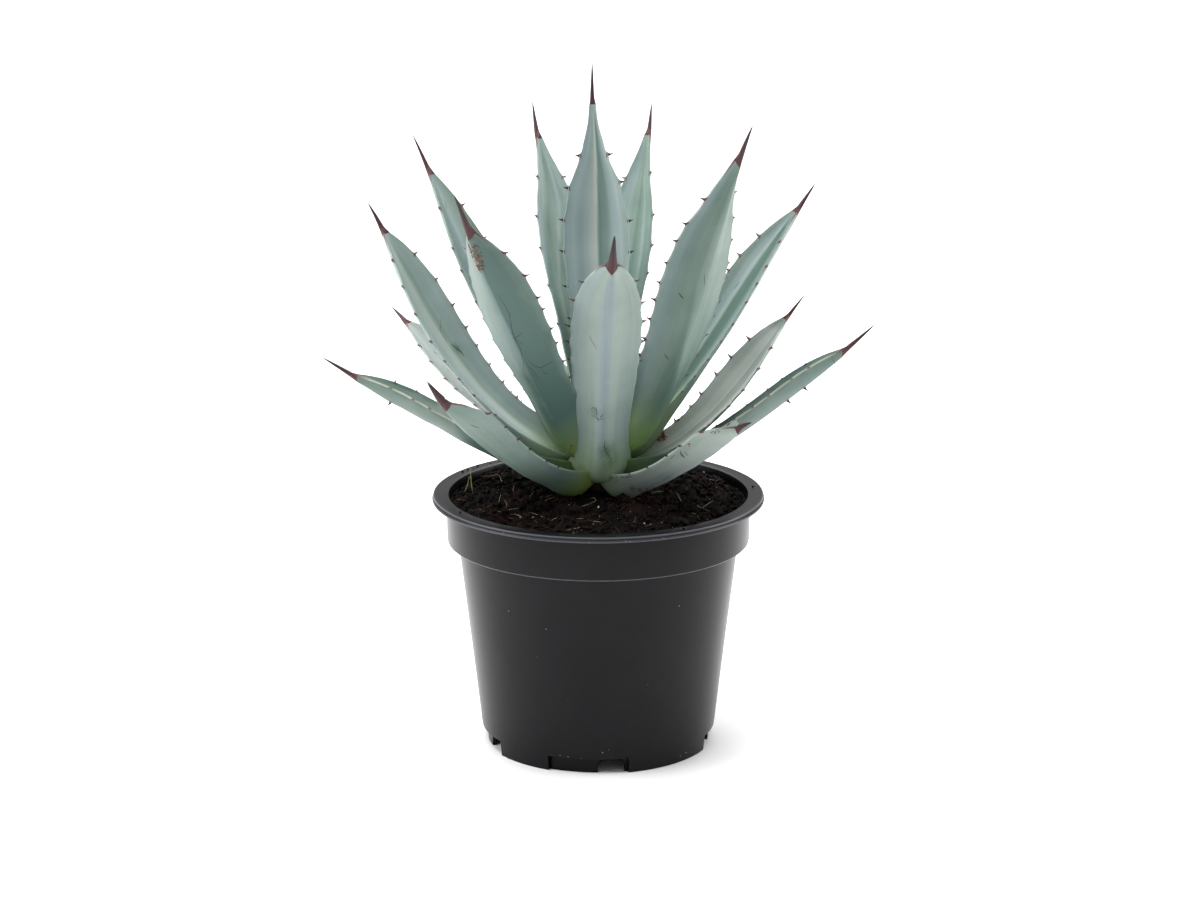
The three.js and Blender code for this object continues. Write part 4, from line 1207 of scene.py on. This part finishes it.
def ridges(name, leaf, paths, material):
    """Low ridges with pointed ends along paths on the blade's skin, as one piece."""
    spots, faces = [], []
    for width, side, path in paths:
        knots = np.array(path, float)
        steps = 4 * (len(knots) - 1)
        at = np.linspace(0, len(knots) - 1, steps + 1)
        station = np.interp(at, np.arange(len(knots)), knots[:, 0])
        u = np.interp(at, np.arange(len(knots)), knots[:, 1])
        level = np.full(steps + 1, float(side))
        middle = skin_spot(leaf, u, station, level)
        _, _, across, up = frame_at(leaf, u)
        beside = unit(skin_spot(leaf, u, station + 0.02, level) - middle)
        along = unit(np.gradient(middle, axis=0))
        out = np.cross(beside, along)
        out = unit(out * np.sign((out * up).sum(1) * (1 if side else -1))[:, None])
        wide = unit(np.cross(out, along))
        taper = np.sin(np.pi * np.linspace(0.04, 0.96, steps + 1))
        ragged = np.array([0.75 + 0.5 * chance.random() for _ in at])
        half = (width / 2 * ragged * taper ** 0.6)[:, None]
        high = RIDGE_HEIGHT * (taper ** 0.5)[:, None]
        ring = np.stack([middle + wide * half - out * RIDGE_SUNK, middle + out * high,
                         middle - wide * half - out * RIDGE_SUNK,
                         middle - out * RIDGE_ROOT], 1)
        first = sum(len(part) for part in spots)
        spots.append(ring.reshape(-1, 3))
        for i in range(steps):
            for j in range(RIDGE_SIDES):
                a = first + RIDGE_SIDES * i + j
                b = first + RIDGE_SIDES * i + (j + 1) % RIDGE_SIDES
                faces.append((a, b, b + RIDGE_SIDES, a + RIDGE_SIDES))
        last = first + RIDGE_SIDES * steps
        faces += [tuple(first + j for j in reversed(range(RIDGE_SIDES))),
                  tuple(last + j for j in range(RIDGE_SIDES))]
    made = body(name, np.concatenate(spots) * MM, faces)
    settle(made)
    bpy.ops.object.mode_set(mode="EDIT")
    face_outwards()
    dress(made, material, [], 60)


# Healed scratch: dull dark green to olive. Cork: dry brown with near-black cracks. Both have
# a grit of about 1.4 mm.
healed, shader = surface("agave_scratch_healed", Roughness=0.6)
cork_scar, cork_shader = surface("agave_scar_cork", Roughness=0.85)
for material, target, low, high in (
    (healed, shader, "#1c2a22", "#3a4a2e"), (cork_scar, cork_shader, "#2e1512", "#8a5844"),
):
    place = node(material, "ShaderNodeTexCoord").outputs["Object"]
    grit = node(material, "ShaderNodeTexNoise", {"Scale": 700, "Detail": 3}, {"Vector": place})
    colour = node(material, "ShaderNodeMix",
                  {"data_type": "RGBA", 6: linear(low), 7: linear(high)},
                  {0: grit.outputs["Fac"]})
    material.node_tree.links.new(colour.outputs[2], target.inputs["Base Color"])

for leaf in LEAVES:
    if leaf["name"] in SCRATCHES:
        ridges("scratches_" + leaf["name"], leaf, SCRATCHES[leaf["name"]], healed)

# The corky patch under one spine: short strips along a line from the spine downwards, given
# by the station and share of both its ends. It is widest and thickest at the spine.
CORK_LEAF = "11"
CORK_TOP = (-.08, .964)
CORK_FOOT = (-.1, .868)
CORK_STRIPS = 150
cork_paths = []
for _ in range(CORK_STRIPS):
    t = chance.random() ** 1.3
    reach = 0.42 * (1 - t) + 0.05
    station = CORK_TOP[0] + (CORK_FOOT[0] - CORK_TOP[0]) * t + chance.uniform(-reach, reach)
    share = CORK_TOP[1] + (CORK_FOOT[1] - CORK_TOP[1]) * t + chance.uniform(-.004, .004)
    turn = chance.uniform(0, math.pi)
    long = chance.uniform(0.3, 1.0)
    step = (long * math.cos(turn) * 0.11, long * math.sin(turn) * 0.007)
    cork_paths.append((chance.uniform(0.25, 0.6), 0, [
        (station - step[0], share - step[1]), (station + 0.02, share + 0.001),
        (station + step[0], share + step[1])]))
leaf = next(leaf for leaf in LEAVES if leaf["name"] == CORK_LEAF)
ridges("cork_patch_" + CORK_LEAF, leaf, cork_paths, cork_scar)

# Scabs low on the front right blade and along its upper margin. Each group: station and
# share of its middle, its spread in both, and how many there are.
SCAB_LEAF = "08"
SCABS = [(.48, .222, .1, .012, 16), (.29, .247, .1, .012, 14), (.15, .2875, .08, .01, 10),
         (.92, .16, .06, .03, 16), (.96, .26, .03, .05, 10), (.9, .93, .08, .02, 12),
         (.9, .62, .05, .02, 4), (.9, .75, .05, .02, 5)]
scab_paths = []
for at, share, wide, long, count in SCABS:
    for _ in range(count):
        station = min(.98, at + chance.uniform(-wide, wide))
        u = share + chance.uniform(-long, long)
        reach, run = chance.uniform(.01, .04), chance.uniform(-.004, .004)
        scab_paths.append((chance.uniform(0.25, 0.6), 0, [
            (station - reach, u - run), (station, u), (station + reach * 0.5, u + run)]))
leaf = next(leaf for leaf in LEAVES if leaf["name"] == SCAB_LEAF)
ridges("scabs_" + SCAB_LEAF, leaf, scab_paths, cork_scar)

# ----------------------------------------------------------------------------------- spines
# The blade ends in one stout horny spine that is round and tapered, a little bent, and
# grows out of the end of the blade with a V on its underside.
# Share of the spine's length, and its size there as a share of that at its foot.
SPINE_SIZES = [(0, 1.0), (0.12, 0.88), (0.3, 0.72), (0.68, 0.42), (0.9, 0.22), (1, 0.06)]
SPINE_CELLS = 22
SPINE_FACE_POINTS = 9
SPINE_SUNK = 0.2
SPINE_STRAIGHT = 0.4
SPINE_WIDE = 0.9
SPINE_DEEP = 0.8
SPINE_OVER_BLADE = 1.04


def spine(leaf):
    """A grid rolled round a path that carries on from the blade's midline.

    Its foot has the section of the blade's end, which turns into an oval up the spine.
    """
    stations = np.r_[np.linspace(-1, 1, SPINE_FACE_POINTS),
                     np.linspace(0.7, -0.7, SPINE_FACE_POINTS), -1]
    sides = np.r_[np.ones(SPINE_FACE_POINTS), np.zeros(SPINE_FACE_POINTS), 1]
    ring = section(leaf, np.ones(len(stations)), stations, sides)
    middle, along, side, up = (v[0] for v in frame_at(leaf, np.array([1.0])))
    centre = ring[:-1].mean(axis=0)
    length = leaf["spine"]
    bent = slope_direction(leaf["tip"][0] + leaf["yaw"], leaf["rise"][1] + leaf["lift"])
    foot = middle - along * SPINE_SUNK
    elbow = foot + along * length * SPINE_STRAIGHT
    point = elbow + bent * length * (1 - SPINE_STRAIGHT)
    name = "spine_" + leaf["name"] + "_horn"
    made, column, t = roll_up(name, len(stations) - 1, SPINE_CELLS)
    size = through(SPINE_SIZES, t)[:, None]
    w = t[:, None]
    path = (1 - w) ** 2 * foot + 2 * w * (1 - w) * elbow + w * w * point
    offset = ring[column] - centre
    wide, deep = offset @ side, offset @ up
    half = np.abs(ring @ side - centre @ side).max()
    angle = np.arctan2(deep, wide)
    rounded = np.clip(t * 3.5, 0, 1)
    wide = wide + (np.cos(angle) * half * SPINE_WIDE - wide) * rounded
    deep = deep + (np.sin(angle) * half * SPINE_DEEP - deep) * rounded
    notch = offset @ along * (1 - np.minimum(1, t * 3))
    around = side * wide[:, None] + up * deep[:, None] + along * notch[:, None]
    keep(made, "share", "FLOAT", 0.3 + 0.7 * t + leaf["horn"])
    close_up(made, path + (centre - middle) * (1 - w) + around * size * SPINE_OVER_BLADE)
    return made


for leaf in LEAVES:
    dress(spine(leaf), horn, ["spine_" + leaf["name"]], 60)

# ----------------------------------------------------------------------------- studio floor
# A plain white floor under soft light from all round, with the camera where the photograph
# was taken from: 1.4 m away, half a metre up, looking down 14.6 degrees.
FLOOR_SIZE = 12
SKY_STRENGTH = 0.38
CAMERA_LENS = 85.11
CAMERA_SENSOR = 36
CAMERA_PLACE = (0.00087, -1.4, 0.5166)
CAMERA_PITCH = 14.56
bpy.ops.object.select_all(action="DESELECT")
bpy.ops.mesh.primitive_plane_add(size=FLOOR_SIZE)
floor = start("studio_floor")
paper, shader = surface("paper_white_matt", Roughness=0.9)
shader.inputs["Base Color"].default_value = linear("#f4f4f4")
floor.data.materials.append(paper)

studio = bpy.data.worlds.new("studio_white")
bpy.context.scene.world = studio
studio.use_nodes = True
sky = studio.node_tree.nodes["Background"]
sky.inputs["Color"].default_value = (1, 1, 1, 1)
sky.inputs["Strength"].default_value = SKY_STRENGTH

# Square lamps: place, the point each one faces, power in watts and size in metres.
for name, place, aim, power, size in (
    ("softbox_top", (-0.25, -0.15, 1.5), (0, 0, 0.18), 22.0, 1.0),
    ("softbox_left", (-1.2, -0.25, 0.75), (0, 0, 0.2), 13.0, 0.9),
    ("softbox_right", (1.3, 0.1, 0.6), (0, 0, 0.18), 12.0, 0.9),
    ("background_wash", (0, 2.6, 2.4), (0, 2.6, 0), 160.0, 3.6),
):
    lamp = bpy.data.lights.new(name, "AREA")
    lamp.energy = power
    lamp.size = size
    holder = bpy.data.objects.new(name, lamp)
    holder.location = place
    turn = Vector(aim) - Vector(place)
    holder.rotation_euler = turn.to_track_quat("-Z", "Y").to_euler()
    bpy.context.collection.objects.link(holder)

eye = bpy.data.cameras.new("camera")
eye.lens = CAMERA_LENS
eye.sensor_width = CAMERA_SENSOR
camera = bpy.data.objects.new("camera", eye)
camera.location = CAMERA_PLACE
camera.rotation_euler = (math.radians(90 - CAMERA_PITCH), 0, 0)
bpy.context.collection.objects.link(camera)
bpy.context.scene.camera = camera
bpy.context.scene.view_settings.view_transform = "Standard"
